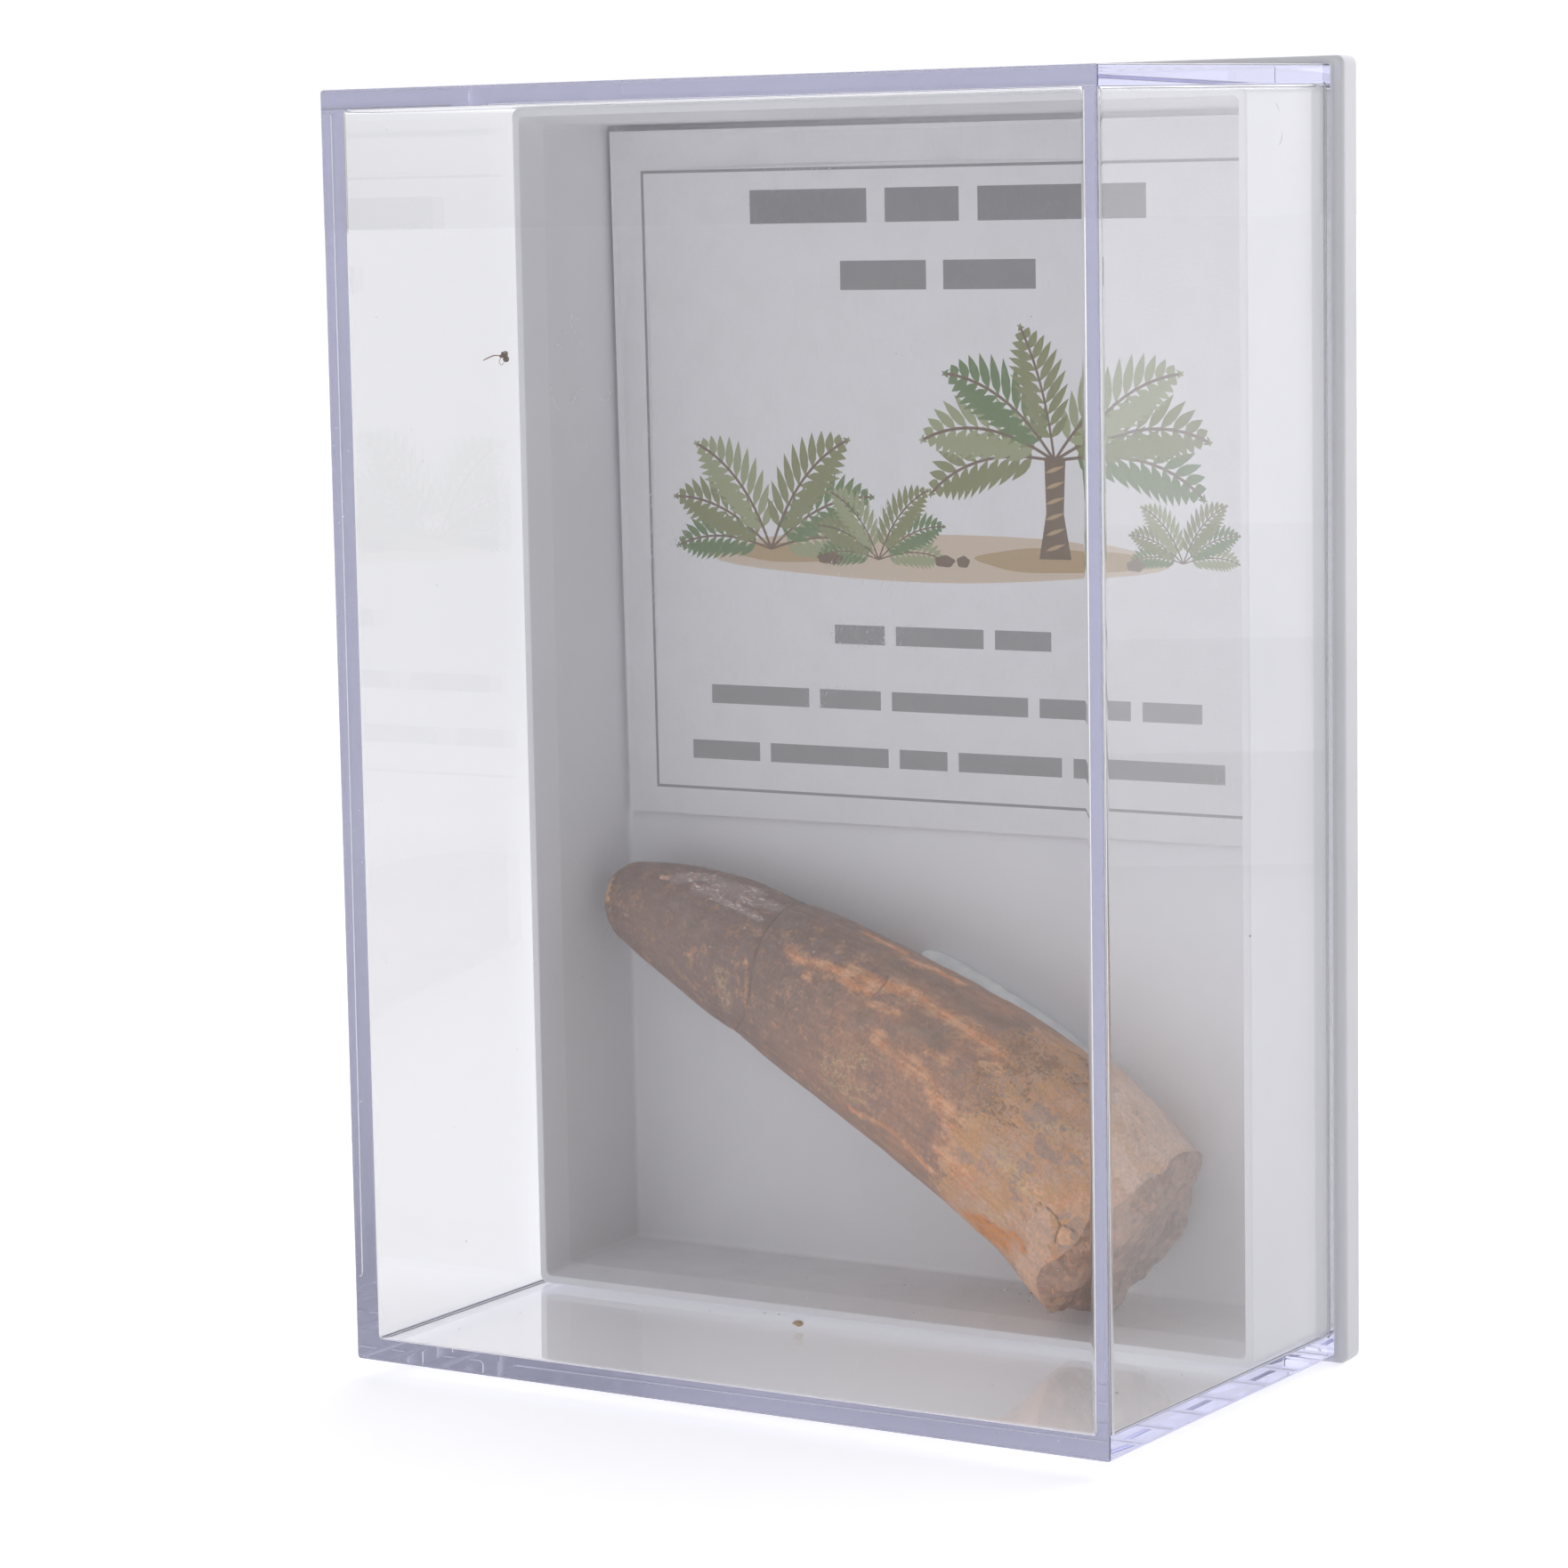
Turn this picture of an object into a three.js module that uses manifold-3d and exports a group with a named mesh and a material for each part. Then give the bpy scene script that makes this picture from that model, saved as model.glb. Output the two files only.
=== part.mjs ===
// Fossil tooth in an upright display box, in millimetres.
// A white tray stands on its plate's bottom edge, and a clear five-walled lid closes over the tray's wall.
// A printed card lies on the tray's floor in the upper half. The tooth lies across the lower half,
// its tip towards the left wall, its broken base on the bottom wall, held by a bead of putty.
// X runs along the front to the right, the clear front panel faces -Y and Z points up.
// The origin is under the middle of the box, on the surface that it stands on.

import * as THREE from "three";
import { mergeVertices } from "three/addons/utils/BufferGeometryUtils.js";
import Module from "manifold-3d";

// The whole box
const BOX_DEPTH = 31;
const BACK_Y = BOX_DEPTH / 2;
const FRONT_Y = -BOX_DEPTH / 2;

// The tray's plate
const PLATE_WIDTH = 53.4;
const PLATE_HEIGHT = 78;
const PLATE_THICKNESS = 2;
const PLATE_CORNER_RADIUS = 0.5;
const PLATE_CORNER_STEPS = 4;
const FLOOR_Y = BACK_Y - PLATE_THICKNESS;
const MIDDLE_Z = PLATE_HEIGHT / 2;

// The tray's wall, which stands forward from the plate and has a bevelled lip
const TRAY_WALL = 1.0;
const TRAY_RIM_Y = 3.4;
const TRAY_ROOT_WIDTH = 49.4;
const TRAY_ROOT_HEIGHT = 74.5;
const TRAY_TAPER = 0.15;
const LIP_WIDTH = 0.5;
const LIP_DEPTH = 2;

// The clear lid, slightly smaller at its front panel than at its rim
const LID_RIM_WIDTH = 52;
const LID_RIM_HEIGHT = 77;
const LID_TAPER = 0.45;
const LID_WALL = 1.15;
const LID_RIM_GAP = 0.1;
const LID_RIM_Y = FLOOR_Y - LID_RIM_GAP;

// The printed card, with its top left corner lifted off the floor
const CARD_WIDTH = 46.4;
const CARD_BOTTOM_Z = 31.2;
const CARD_TOP_Z = 74.7;
const CARD_THICKNESS = 0.3;
const CARD_FLOOR_GAP = 0.1;
const CARD_CORNER_LIFT = 0.75;
const CARD_LIFT_REACH = 14;
const CARD_STEPS = 12;

// The tooth's centre line from the worn tip to beyond the broken base
const TOOTH_AXIS = [
  [-22.45, 10.1, 25.92],
  [-20.8, 9.85, 25.85],
  [-17.1, 9.3, 25.0],
  [-13.7, 8.85, 23.95],
  [-10.4, 8.45, 22.7],
  [-5.7, 8.0, 20.85],
  [-1.15, 7.6, 18.85],
  [3.2, 7.3, 16.8],
  [7.35, 7.05, 14.6],
  [11.0, 6.95, 12.0],
  [17.2, 6.85, 6.6],
];

// The tooth's outline: distance along the centre line, then radius
const TOOTH_OUTLINE = [
  [0.08, 1.0],
  [0.28, 1.6],
  [0.65, 2.05],
  [1.15, 2.4],
  [1.75, 2.62],
  [3.55, 3.1],
  [5.45, 3.55],
  [7.25, 3.88],
  [9.05, 4.2],
  [10.85, 4.4],
  [12.65, 4.54],
  [14.45, 4.74],
  [16.25, 5.0],
  [17.95, 5.18],
  [21.15, 5.42],
  [24.45, 5.68],
  [27.65, 5.92],
  [30.75, 6.14],
  [33.85, 6.22],
  [38.2, 6.22],
  [42.3, 6.1],
];
const TOOTH_BODY_STEPS = 50;
const TOOTH_SIDES = 48;

// The broken base: distance along the centre line, then radius, ending on the axis
const TOOTH_BREAK = [
  [42.8, 5.75],
  [43.05, 5.0],
  [42.95, 4.0],
  [42.75, 3.0],
  [42.85, 2.0],
  [43.0, 1.0],
];
const BREAK_CENTRE = 43.0;
const BREAK_START = 35.5;
const BREAK_WAVES = [
  [1, 3.3, 0.85],
  [2, 2.97, 0.42],
  [5, 2.1, 0.22],
  [9, 0.9, 0.12],
];

// The crack that rings the tooth a third of the way from the tip
const CRACK_AT = 13.5;
const CRACK_SWING = 0.5;
const CRACK_WIDTH = 0.45;
const CRACK_DEPTH = 0.22;

// Chips and swellings: distance along the centre line, angle in degrees, length, width in degrees, height
const TOOTH_MARKS = [
  [7.7, 128, 3.2, 30, -0.16],
  [4.0, 165, 2.0, 34, -0.12],
  [15.1, 96, 1.2, 24, 0.14],
  [28.0, 118, 3.0, 20, -0.14],
  [31.0, 150, 3.4, 26, 0.12],
  [36.0, 110, 2.6, 30, 0.16],
  [37.0, 215, 2.6, 26, -0.18],
  [39.8, 190, 1.3, 14, 0.28],
  [38.5, 262, 2.0, 22, -0.2],
  [23.5, 205, 3.0, 24, 0.1],
  [32.5, 300, 3.6, 34, -0.12],
  [19.5, 20, 4.0, 40, -0.08],
];

// The bead of putty behind the tooth's upper flank
const PUTTY_START = 20;
const PUTTY_LENGTH = 14;
const PUTTY_BACK = 5.3;
const PUTTY_UP = 3.75;
const PUTTY_THICK_RADIUS = 1.1;
const PUTTY_HIGH_RADIUS = 1.0;
const PUTTY_CLEARANCE = 0.3;
const PUTTY_FLOOR_GAP = 0.1;
const PUTTY_STEPS = 16;
const PUTTY_SIDES = 12;

const wasm = await Module();
wasm.setup();

// A closed geometry as a solid that can be joined and cut
function toSolid(geometry) {
  const plain = geometry.clone();
  plain.deleteAttribute("normal");
  plain.deleteAttribute("uv");
  const merged = mergeVertices(plain, 1e-5);
  return new wasm.Manifold(
    new wasm.Mesh({
      numProp: 3,
      vertProperties: new Float32Array(merged.attributes.position.array),
      triVerts: new Uint32Array(merged.index.array),
    }),
  );
}

// A solid back as a geometry with flat normals
function toGeometry(solid) {
  const mesh = solid.getMesh();
  const geometry = new THREE.BufferGeometry();
  const positions = new Float32Array(mesh.numVert * 3);
  for (let i = 0; i < mesh.numVert; i += 1) {
    for (let k = 0; k < 3; k += 1) {
      positions[i * 3 + k] = mesh.vertProperties[i * mesh.numProp + k];
    }
  }
  geometry.setAttribute("position", new THREE.BufferAttribute(positions, 3));
  geometry.setIndex(new THREE.BufferAttribute(new Uint32Array(mesh.triVerts), 1));
  geometry.computeVertexNormals();
  return geometry;
}

// Moves every vertex of a geometry by a function of its position
function reshape(geometry, move) {
  const position = geometry.attributes.position;
  const point = new THREE.Vector3();
  for (let i = 0; i < position.count; i += 1) {
    point.fromBufferAttribute(position, i);
    move(point);
    position.setXYZ(i, point.x, point.y, point.z);
  }
  return geometry;
}

// A block from front to back whose width and height change evenly between its two ends
function taperedBlock(front, back) {
  const block = new THREE.BoxGeometry(1, 1, 1);
  return reshape(block, (point) => {
    const end = point.y < 0 ? front : back;
    point.set(point.x * end.width, end.y, MIDDLE_Z + point.z * end.height);
  });
}

function buildPlate() {
  const halfWidth = PLATE_WIDTH / 2;
  const halfHeight = PLATE_HEIGHT / 2;
  const radius = PLATE_CORNER_RADIUS;
  const outline = new THREE.Shape();
  outline.moveTo(-halfWidth + radius, -halfHeight);
  outline.lineTo(halfWidth - radius, -halfHeight);
  outline.absarc(halfWidth - radius, -halfHeight + radius, radius, -Math.PI / 2, 0);
  outline.lineTo(halfWidth, halfHeight - radius);
  outline.absarc(halfWidth - radius, halfHeight - radius, radius, 0, Math.PI / 2);
  outline.lineTo(-halfWidth + radius, halfHeight);
  outline.absarc(-halfWidth + radius, halfHeight - radius, radius, Math.PI / 2, Math.PI);
  outline.lineTo(-halfWidth, -halfHeight + radius);
  outline.absarc(-halfWidth + radius, -halfHeight + radius, radius, Math.PI, Math.PI * 1.5);
  const plate = new THREE.ExtrudeGeometry(outline, {
    depth: PLATE_THICKNESS,
    bevelEnabled: false,
    curveSegments: PLATE_CORNER_STEPS,
  });
  plate.rotateX(Math.PI / 2);
  plate.translate(0, BACK_Y, MIDDLE_Z);
  return plate;
}

function buildTray() {
  const rimWidth = TRAY_ROOT_WIDTH - 2 * TRAY_TAPER;
  const rimHeight = TRAY_ROOT_HEIGHT - 2 * TRAY_TAPER;
  const rootY = FLOOR_Y + PLATE_THICKNESS / 2;
  const outside = taperedBlock(
    { y: TRAY_RIM_Y, width: rimWidth, height: rimHeight },
    { y: rootY, width: TRAY_ROOT_WIDTH, height: TRAY_ROOT_HEIGHT },
  );
  const innerWidth = rimWidth - 2 * TRAY_WALL;
  const innerHeight = rimHeight - 2 * TRAY_WALL;
  const inside = taperedBlock(
    { y: TRAY_RIM_Y - 1, width: innerWidth, height: innerHeight },
    { y: FLOOR_Y, width: innerWidth, height: innerHeight },
  );
  const lipOpening = 2 * (TRAY_WALL - LIP_WIDTH);
  const flare = taperedBlock(
    { y: TRAY_RIM_Y, width: innerWidth + lipOpening, height: innerHeight + lipOpening },
    { y: TRAY_RIM_Y + LIP_DEPTH, width: innerWidth, height: innerHeight },
  );
  return toGeometry(
    toSolid(outside).subtract(toSolid(inside)).subtract(toSolid(flare)).add(toSolid(buildPlate())),
  );
}

function buildLid() {
  const frontWidth = LID_RIM_WIDTH - 2 * LID_TAPER;
  const frontHeight = LID_RIM_HEIGHT - 2 * LID_TAPER;
  const outside = taperedBlock(
    { y: FRONT_Y, width: frontWidth, height: frontHeight },
    { y: LID_RIM_Y, width: LID_RIM_WIDTH, height: LID_RIM_HEIGHT },
  );
  const inside = taperedBlock(
    { y: FRONT_Y + LID_WALL, width: frontWidth - 2 * LID_WALL, height: frontHeight - 2 * LID_WALL },
    { y: LID_RIM_Y + 1, width: LID_RIM_WIDTH - 2 * LID_WALL, height: LID_RIM_HEIGHT - 2 * LID_WALL },
  );
  return toGeometry(toSolid(outside).subtract(toSolid(inside)));
}

// How far the card stands off the floor: nothing, save at the top left corner
function cardLift(x, z) {
  const across = THREE.MathUtils.clamp(1 - (x + CARD_WIDTH / 2) / CARD_LIFT_REACH, 0, 1);
  const down = THREE.MathUtils.clamp(1 - (CARD_TOP_Z - z) / CARD_LIFT_REACH, 0, 1);
  return CARD_CORNER_LIFT * across * across * down;
}

function buildCard() {
  const height = CARD_TOP_Z - CARD_BOTTOM_Z;
  const card = new THREE.BoxGeometry(
    CARD_WIDTH,
    CARD_THICKNESS,
    height,
    CARD_STEPS,
    1,
    CARD_STEPS,
  );
  card.translate(0, FLOOR_Y - CARD_FLOOR_GAP - CARD_THICKNESS / 2, CARD_BOTTOM_Z + height / 2);
  return reshape(card, (point) => {
    point.y -= cardLift(point.x, point.z);
  });
}

const toothAxis = new THREE.CatmullRomCurve3(
  TOOTH_AXIS.map(([x, y, z]) => new THREE.Vector3(x, y, z)),
);
toothAxis.arcLengthDivisions = 400;
const toothAxisLength = toothAxis.getLength();

// Carries a point given as (up, along, back) about a straight tooth onto the curved centre line
function bendOntoAxis(point) {
  const along = THREE.MathUtils.clamp(point.y / toothAxisLength, 0, 1);
  const centre = toothAxis.getPointAt(along);
  const forward = toothAxis.getTangentAt(along);
  const back = new THREE.Vector3(0, 1, 0).addScaledVector(forward, -forward.y).normalize();
  const up = new THREE.Vector3().crossVectors(forward, back);
  const { x, z } = point;
  point.copy(centre).addScaledVector(up, x).addScaledVector(back, z);
}

// A soft bump that is 1 in the middle and falls away over the given reach
function bump(distance, reach) {
  return Math.exp(-((distance / reach) ** 2));
}

// The signed angle between two directions, from minus pi to pi
function angleBetween(a, b) {
  return Math.atan2(Math.sin(a - b), Math.cos(a - b));
}

// Height of the tooth's surface above its smooth outline
function toothRelief(along, angle) {
  const crackAt = CRACK_AT + CRACK_SWING * Math.cos(angle);
  let height = -CRACK_DEPTH * bump(along - crackAt, CRACK_WIDTH);
  for (const [at, degrees, length, width, mark] of TOOTH_MARKS) {
    const turn = angleBetween(angle, THREE.MathUtils.degToRad(degrees));
    height += mark * bump(along - at, length) * bump(turn, THREE.MathUtils.degToRad(width));
  }
  return height;
}

// How far the broken edge reaches past its mean place, by angle
function breakWave(angle) {
  return BREAK_WAVES.reduce(
    (sum, [waves, phase, height]) => sum + height * Math.sin(waves * angle + phase),
    0,
  );
}

// The tooth as a lathe turned about Y, then broken at the base and bent onto its centre line.
// The extra makes it larger all round.
function buildTooth(extra) {
  const outline = new THREE.SplineCurve(
    TOOTH_OUTLINE.map(([along, radius]) => new THREE.Vector2(radius + extra, along)),
  );
  const profile = [
    new THREE.Vector2(0, -extra),
    ...outline.getSpacedPoints(TOOTH_BODY_STEPS),
    ...TOOTH_BREAK.map(([along, radius]) => new THREE.Vector2(radius + extra, along + extra)),
    new THREE.Vector2(0, BREAK_CENTRE + extra),
  ];
  const tooth = new THREE.LatheGeometry(profile, TOOTH_SIDES);
  return reshape(tooth, (point) => {
    const angle = Math.atan2(point.x, point.z);
    const radius = Math.hypot(point.x, point.z);
    const nearBreak = THREE.MathUtils.smoothstep(point.y, BREAK_START, BREAK_CENTRE);
    const inFromEdge = Math.min(1, radius / TOOTH_BREAK[0][1]);
    const larger = radius > 0 ? (radius + toothRelief(point.y, angle) * inFromEdge) / radius : 1;
    const along = point.y + breakWave(angle) * nearBreak * inFromEdge;
    point.set(point.x * larger, along, point.z * larger);
    bendOntoAxis(point);
  });
}

// The bead follows the tooth's upper flank. It is cut by the tooth, with a small clearance, and by the floor.
function buildPutty() {
  const bead = new THREE.CylinderGeometry(1, 1, 1, PUTTY_SIDES, PUTTY_STEPS);
  reshape(bead, (point) => {
    const part = point.y + 0.5;
    const swell = Math.sqrt(Math.max(0, 1 - (2 * part - 1) ** 4)) * 0.9 + 0.1;
    point.set(
      PUTTY_UP + point.x * PUTTY_HIGH_RADIUS * swell,
      PUTTY_START + part * PUTTY_LENGTH,
      PUTTY_BACK + point.z * PUTTY_THICK_RADIUS * swell,
    );
    bendOntoAxis(point);
  });
  const behindFloor = taperedBlock(
    { y: FLOOR_Y - PUTTY_FLOOR_GAP, width: PLATE_WIDTH, height: PLATE_HEIGHT },
    { y: FLOOR_Y + 10, width: PLATE_WIDTH, height: PLATE_HEIGHT },
  );
  return toGeometry(
    toSolid(bead).subtract(toSolid(behindFloor)).subtract(toSolid(buildTooth(PUTTY_CLEARANCE))),
  );
}

function named(name, geometry, material) {
  const mesh = new THREE.Mesh(geometry, new THREE.MeshStandardMaterial(material));
  mesh.name = name;
  return mesh;
}

const display = new THREE.Group();
display.add(
  named("base_tray", buildTray(), { color: 0xd2d3d8, roughness: 0.42, metalness: 0 }),
  named("clear_lid", buildLid(), {
    color: 0xe6e7ef,
    roughness: 0.04,
    metalness: 0,
    transparent: true,
    opacity: 0.25,
  }),
  named("label_card", buildCard(), { color: 0xd9dade, roughness: 0.85, metalness: 0 }),
  named("fossil_tooth", buildTooth(0), { color: 0x8a5b45, roughness: 0.6, metalness: 0 }),
  named("putty_bead", buildPutty(), { color: 0xc9d4d6, roughness: 0.7, metalness: 0 }),
);

export default display;
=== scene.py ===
"""Fossil tooth in an upright clear display box, dressed for rendering.

The tray, the lid, the card, the tooth, the putty behind it and the dirt in the box are numpy
surfaces in the part's own frame: X right, -Y out through the clear front, +Z up. Shapes are
worked out in millimetres and put into the meshes in metres. Each main piece stands in for one
of the model's solids, which is hidden.
"""

from __future__ import annotations

import logging
from dataclasses import dataclass, field
from enum import Enum
from typing import Sequence

import bpy
import numpy as np
from mathutils import Matrix, Vector
from mathutils.geometry import delaunay_2d_cdt


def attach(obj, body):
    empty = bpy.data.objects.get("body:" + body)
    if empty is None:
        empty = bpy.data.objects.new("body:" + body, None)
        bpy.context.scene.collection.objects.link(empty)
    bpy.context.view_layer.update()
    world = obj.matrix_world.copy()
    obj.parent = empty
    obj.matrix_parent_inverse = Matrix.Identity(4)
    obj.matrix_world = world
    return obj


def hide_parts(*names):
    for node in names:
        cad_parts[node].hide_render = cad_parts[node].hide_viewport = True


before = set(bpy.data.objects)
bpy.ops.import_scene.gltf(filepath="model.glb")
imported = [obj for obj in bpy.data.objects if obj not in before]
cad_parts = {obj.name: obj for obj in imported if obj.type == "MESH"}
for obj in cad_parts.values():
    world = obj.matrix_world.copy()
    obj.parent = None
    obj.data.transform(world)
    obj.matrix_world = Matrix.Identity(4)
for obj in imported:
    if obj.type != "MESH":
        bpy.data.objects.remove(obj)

Array = np.ndarray
Colour = tuple[float, float, float]
Place = tuple[float, float, float]
Pair = tuple[float, float]
Socket = bpy.types.NodeSocket

MM = 0.001

# The tooth's fields of stains by the colour attribute that carries them, one to a channel
STAIN_LAYERS = {
    "stain_a": ("orange", "rust", "chips"),
    "stain_b": ("slate", "broken", "buff"),
    "stain_c": ("cracks", "yellow", "pores"),
    "stain_d": ("veins", "facets", "pale"),
}

log = logging.getLogger("display_box")


# Numbers and fields


def smoothstep(value: Array, low: float, high: float) -> Array:
    """Soft step from 0 at low to 1 at high: 3t^2 - 2t^3, with t the share of the way."""
    t = np.clip((value - low) / (high - low), 0.0, 1.0)
    return t * t * (3.0 - 2.0 * t)


def unit(vectors: Array) -> Array:
    """Vectors brought to length 1."""
    return vectors / np.linalg.norm(vectors, axis=-1, keepdims=True)


def round_angles(count: int) -> Array:
    """Angles evenly spaced round a circle, in radians."""
    return np.arange(count) * 2 * np.pi / count


def distances(points: Array) -> Array:
    """Distance gone along a line at each of its points."""
    return np.concatenate([[0.0], np.cumsum(np.linalg.norm(np.diff(points, axis=0), axis=1))])


def read_curve(places: Array, gone: Array, curve: Array) -> Array:
    """A curve's columns read at distances along it, in straight lines between its points."""
    return np.stack([np.interp(places, gone, column) for column in curve.T], axis=-1)


def lattice_noise(points: Array, seed: int) -> Array:
    """Value noise: random values on a unit lattice, blended between its eight corners.

    Args:
        points: Positions, the last axis holding three coordinates in lattice units.
        seed: Chooses the lattice values.

    Returns:
        Values from -1 to 1, one for each position.
    """
    cell = np.floor(points).astype(np.int64)
    part = points - cell
    blend = part * part * (3.0 - 2.0 * part)
    total = np.zeros(points.shape[:-1])
    for corner in np.ndindex(2, 2, 2):
        at = (cell + np.array(corner)).astype(np.uint64)
        mixed = at[..., 0] * np.uint64(73856093) ^ at[..., 1] * np.uint64(19349663)
        mixed ^= at[..., 2] * np.uint64(83492791) ^ np.uint64(seed * 2654435761)
        mixed = (mixed ^ (mixed >> np.uint64(13))) * np.uint64(1274126177)
        mixed = (mixed ^ (mixed >> np.uint64(16))) & np.uint64(0xFFFFFF)
        value = mixed.astype(float) / 0x7FFFFF - 1.0
        weight = np.where(np.array(corner), blend, 1.0 - blend).prod(axis=-1)
        total += value * weight
    return total


def layered_noise(points: Array, seed: int, layers: int = 3) -> Array:
    """Lattice noise added up over layers, each half as high and twice as fine as the last.

    Args:
        points: Positions in lattice units of the first layer.
        seed: Chooses the lattice values.
        layers: How many layers are added.

    Returns:
        Values of roughly -1 to 1.
    """
    total = np.zeros(points.shape[:-1])
    for layer in range(layers):
        total += lattice_noise(points * 2.0**layer, seed + layer) * 0.5**layer
    return total / 1.6


def smooth_line(points: Array, spacing_power: float, steps: int) -> Array:
    """Catmull-Rom curve through points.

    Each span is a Hermite cubic. A point's tangent weighs its two chords by the chord
    lengths to the spacing power: 0 gives the uniform curve and 0.5 the centripetal one.

    Args:
        points: The points, one to a row.
        spacing_power: Power of the chord length that spaces the knots.
        steps: Samples in each span.

    Returns:
        The sampled curve, one point to a row.
    """
    ends = np.vstack([2 * points[0] - points[1], points, 2 * points[-1] - points[-2]])
    knots = np.linalg.norm(np.diff(ends, axis=0), axis=1) ** spacing_power
    before, here, after = (knots[i : len(knots) - 2 + i, None] for i in range(3))
    p0, p1, p2, p3 = (ends[i : len(ends) - 3 + i] for i in range(4))
    leave = (p1 - p0) / before - (p2 - p0) / (before + here) + (p2 - p1) / here
    arrive = (p2 - p1) / here - (p3 - p1) / (here + after) + (p3 - p2) / after
    leave, arrive = leave * here, arrive * here
    t = (np.arange(steps) / steps)[None, :, None]
    p1, p2, leave, arrive = (item[:, None, :] for item in (p1, p2, leave, arrive))
    curve = p1 * (2 * t**3 - 3 * t**2 + 1) + leave * (t**3 - 2 * t**2 + t)
    curve = curve + p2 * (3 * t**2 - 2 * t**3) + arrive * (t**3 - t**2)
    return np.vstack([curve.reshape(-1, points.shape[1]), points[-1]])


# Meshes


class Wrap(Enum):
    """How a grid of points closes on itself."""

    OPEN = "open"
    AROUND = "around"


@dataclass
class Shell:
    """A mesh in the making: points in millimetres and the faces between them."""

    points: list[Array] = field(default_factory=list)
    faces: list[list[int]] = field(default_factory=list)
    count: int = 0

    def add_points(self, points: Array) -> Array:
        """Adds points and returns their indices.

        Args:
            points: Positions, the last axis holding three coordinates.

        Returns:
            The indices, shaped like points without its last axis.
        """
        shape = points.shape[:-1]
        number = int(np.prod(shape))
        self.points.append(points.reshape(-1, 3))
        index = np.arange(self.count, self.count + number).reshape(shape)
        self.count += number
        return index

    def grid(self, points: Array, wrap: Wrap) -> Array:
        """Adds a grid of points with a quad between each four neighbours.

        Args:
            points: Positions by row and column.
            wrap: Whether the last column joins the first.

        Returns:
            The points' indices by row and column.
        """
        index = self.add_points(points)
        across = np.hstack([index, index[:, :1]]) if wrap is Wrap.AROUND else index
        quads = np.stack([across[:-1, :-1], across[:-1, 1:], across[1:, 1:], across[1:, :-1]], axis=-1)
        self.faces.extend(quads.reshape(-1, 4).tolist())
        return index

    def cap(self, ring: Array, reverse: bool) -> None:
        """Closes a ring of indices with one flat face, along its order or against it."""
        self.faces.append((ring[::-1] if reverse else ring).tolist())

    def fan(self, ring: Array, middle: Array, reverse: bool) -> None:
        """Closes a ring of points with triangles that meet in a new middle point.

        Args:
            ring: The ring's indices.
            middle: Position of the middle point.
            reverse: Whether the triangles run against the ring's order.
        """
        centre = np.full(len(ring), self.add_points(middle[None, :])[0])
        sides = [ring, np.roll(ring, -1), centre]
        order = [1, 0, 2] if reverse else [0, 1, 2]
        self.faces.extend(np.stack([sides[i] for i in order], axis=-1).tolist())

    def closed_tube(self, rings: Array) -> None:
        """Adds rings of points joined to a tube, its ends closed by fans round their middles.

        Args:
            rings: Positions by ring and by place on it.
        """
        index = self.grid(rings, Wrap.AROUND)
        self.fan(index[0], rings[0].mean(axis=0), True)
        self.fan(index[-1], rings[-1].mean(axis=0), False)

    def to_object(self, name: str, sharp_degrees: float = 180.0) -> bpy.types.Object:
        """Makes the mesh object, its faces turned outwards by the sign of its volume.

        Args:
            name: The object's name.
            sharp_degrees: Edges that turn more than this are shaded as sharp.

        Returns:
            The object, linked to the scene.
        """
        mesh = bpy.data.meshes.new(name)
        mesh.from_pydata((np.vstack(self.points) * MM).tolist(), [], self.faces)
        mesh.update()
        if signed_volume(mesh) < 0:
            mesh.flip_normals()
        mesh.shade_smooth()
        if sharp_degrees < 180.0:
            mesh.set_sharp_from_angle(angle=float(np.radians(sharp_degrees)))
        made = bpy.data.objects.new(name, mesh)
        bpy.context.scene.collection.objects.link(made)
        return made


def signed_volume(mesh: bpy.types.Mesh) -> float:
    """Volume inside a closed mesh, a sixth of the sum of the triangles' triple products.

    Args:
        mesh: The mesh.

    Returns:
        The volume, negative where the faces point inwards.
    """
    mesh.calc_loop_triangles()
    corners = np.empty(len(mesh.loop_triangles) * 3, np.int32)
    mesh.loop_triangles.foreach_get("vertices", corners)
    places = np.empty(len(mesh.vertices) * 3)
    mesh.vertices.foreach_get("co", places)
    a, b, c = places.reshape(-1, 3)[corners.reshape(-1, 3)].transpose(1, 0, 2)
    return float((np.cross(a, b) * c).sum() / 6.0)


def paint(mesh: bpy.types.Mesh, name: str, channels: Sequence[Array]) -> None:
    """Keeps up to four fields as one colour attribute on the mesh's points.

    Args:
        mesh: The mesh.
        name: The attribute's name.
        channels: One value to a point in each field.
    """
    values = np.ones((len(mesh.vertices), 4), np.float32)
    for k, channel in enumerate(channels):
        values[:, k] = channel.ravel()
    mesh.attributes.new(name, "FLOAT_COLOR", "POINT").data.foreach_set("color", values.ravel())


@dataclass(frozen=True)
class Corner:
    """A corner of a moulding's section: its place, its rounding and its ring's corner radius."""

    y: float
    half_width: float
    half_height: float
    rounding: float = 0.0
    ring_radius: float = 0.3


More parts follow.
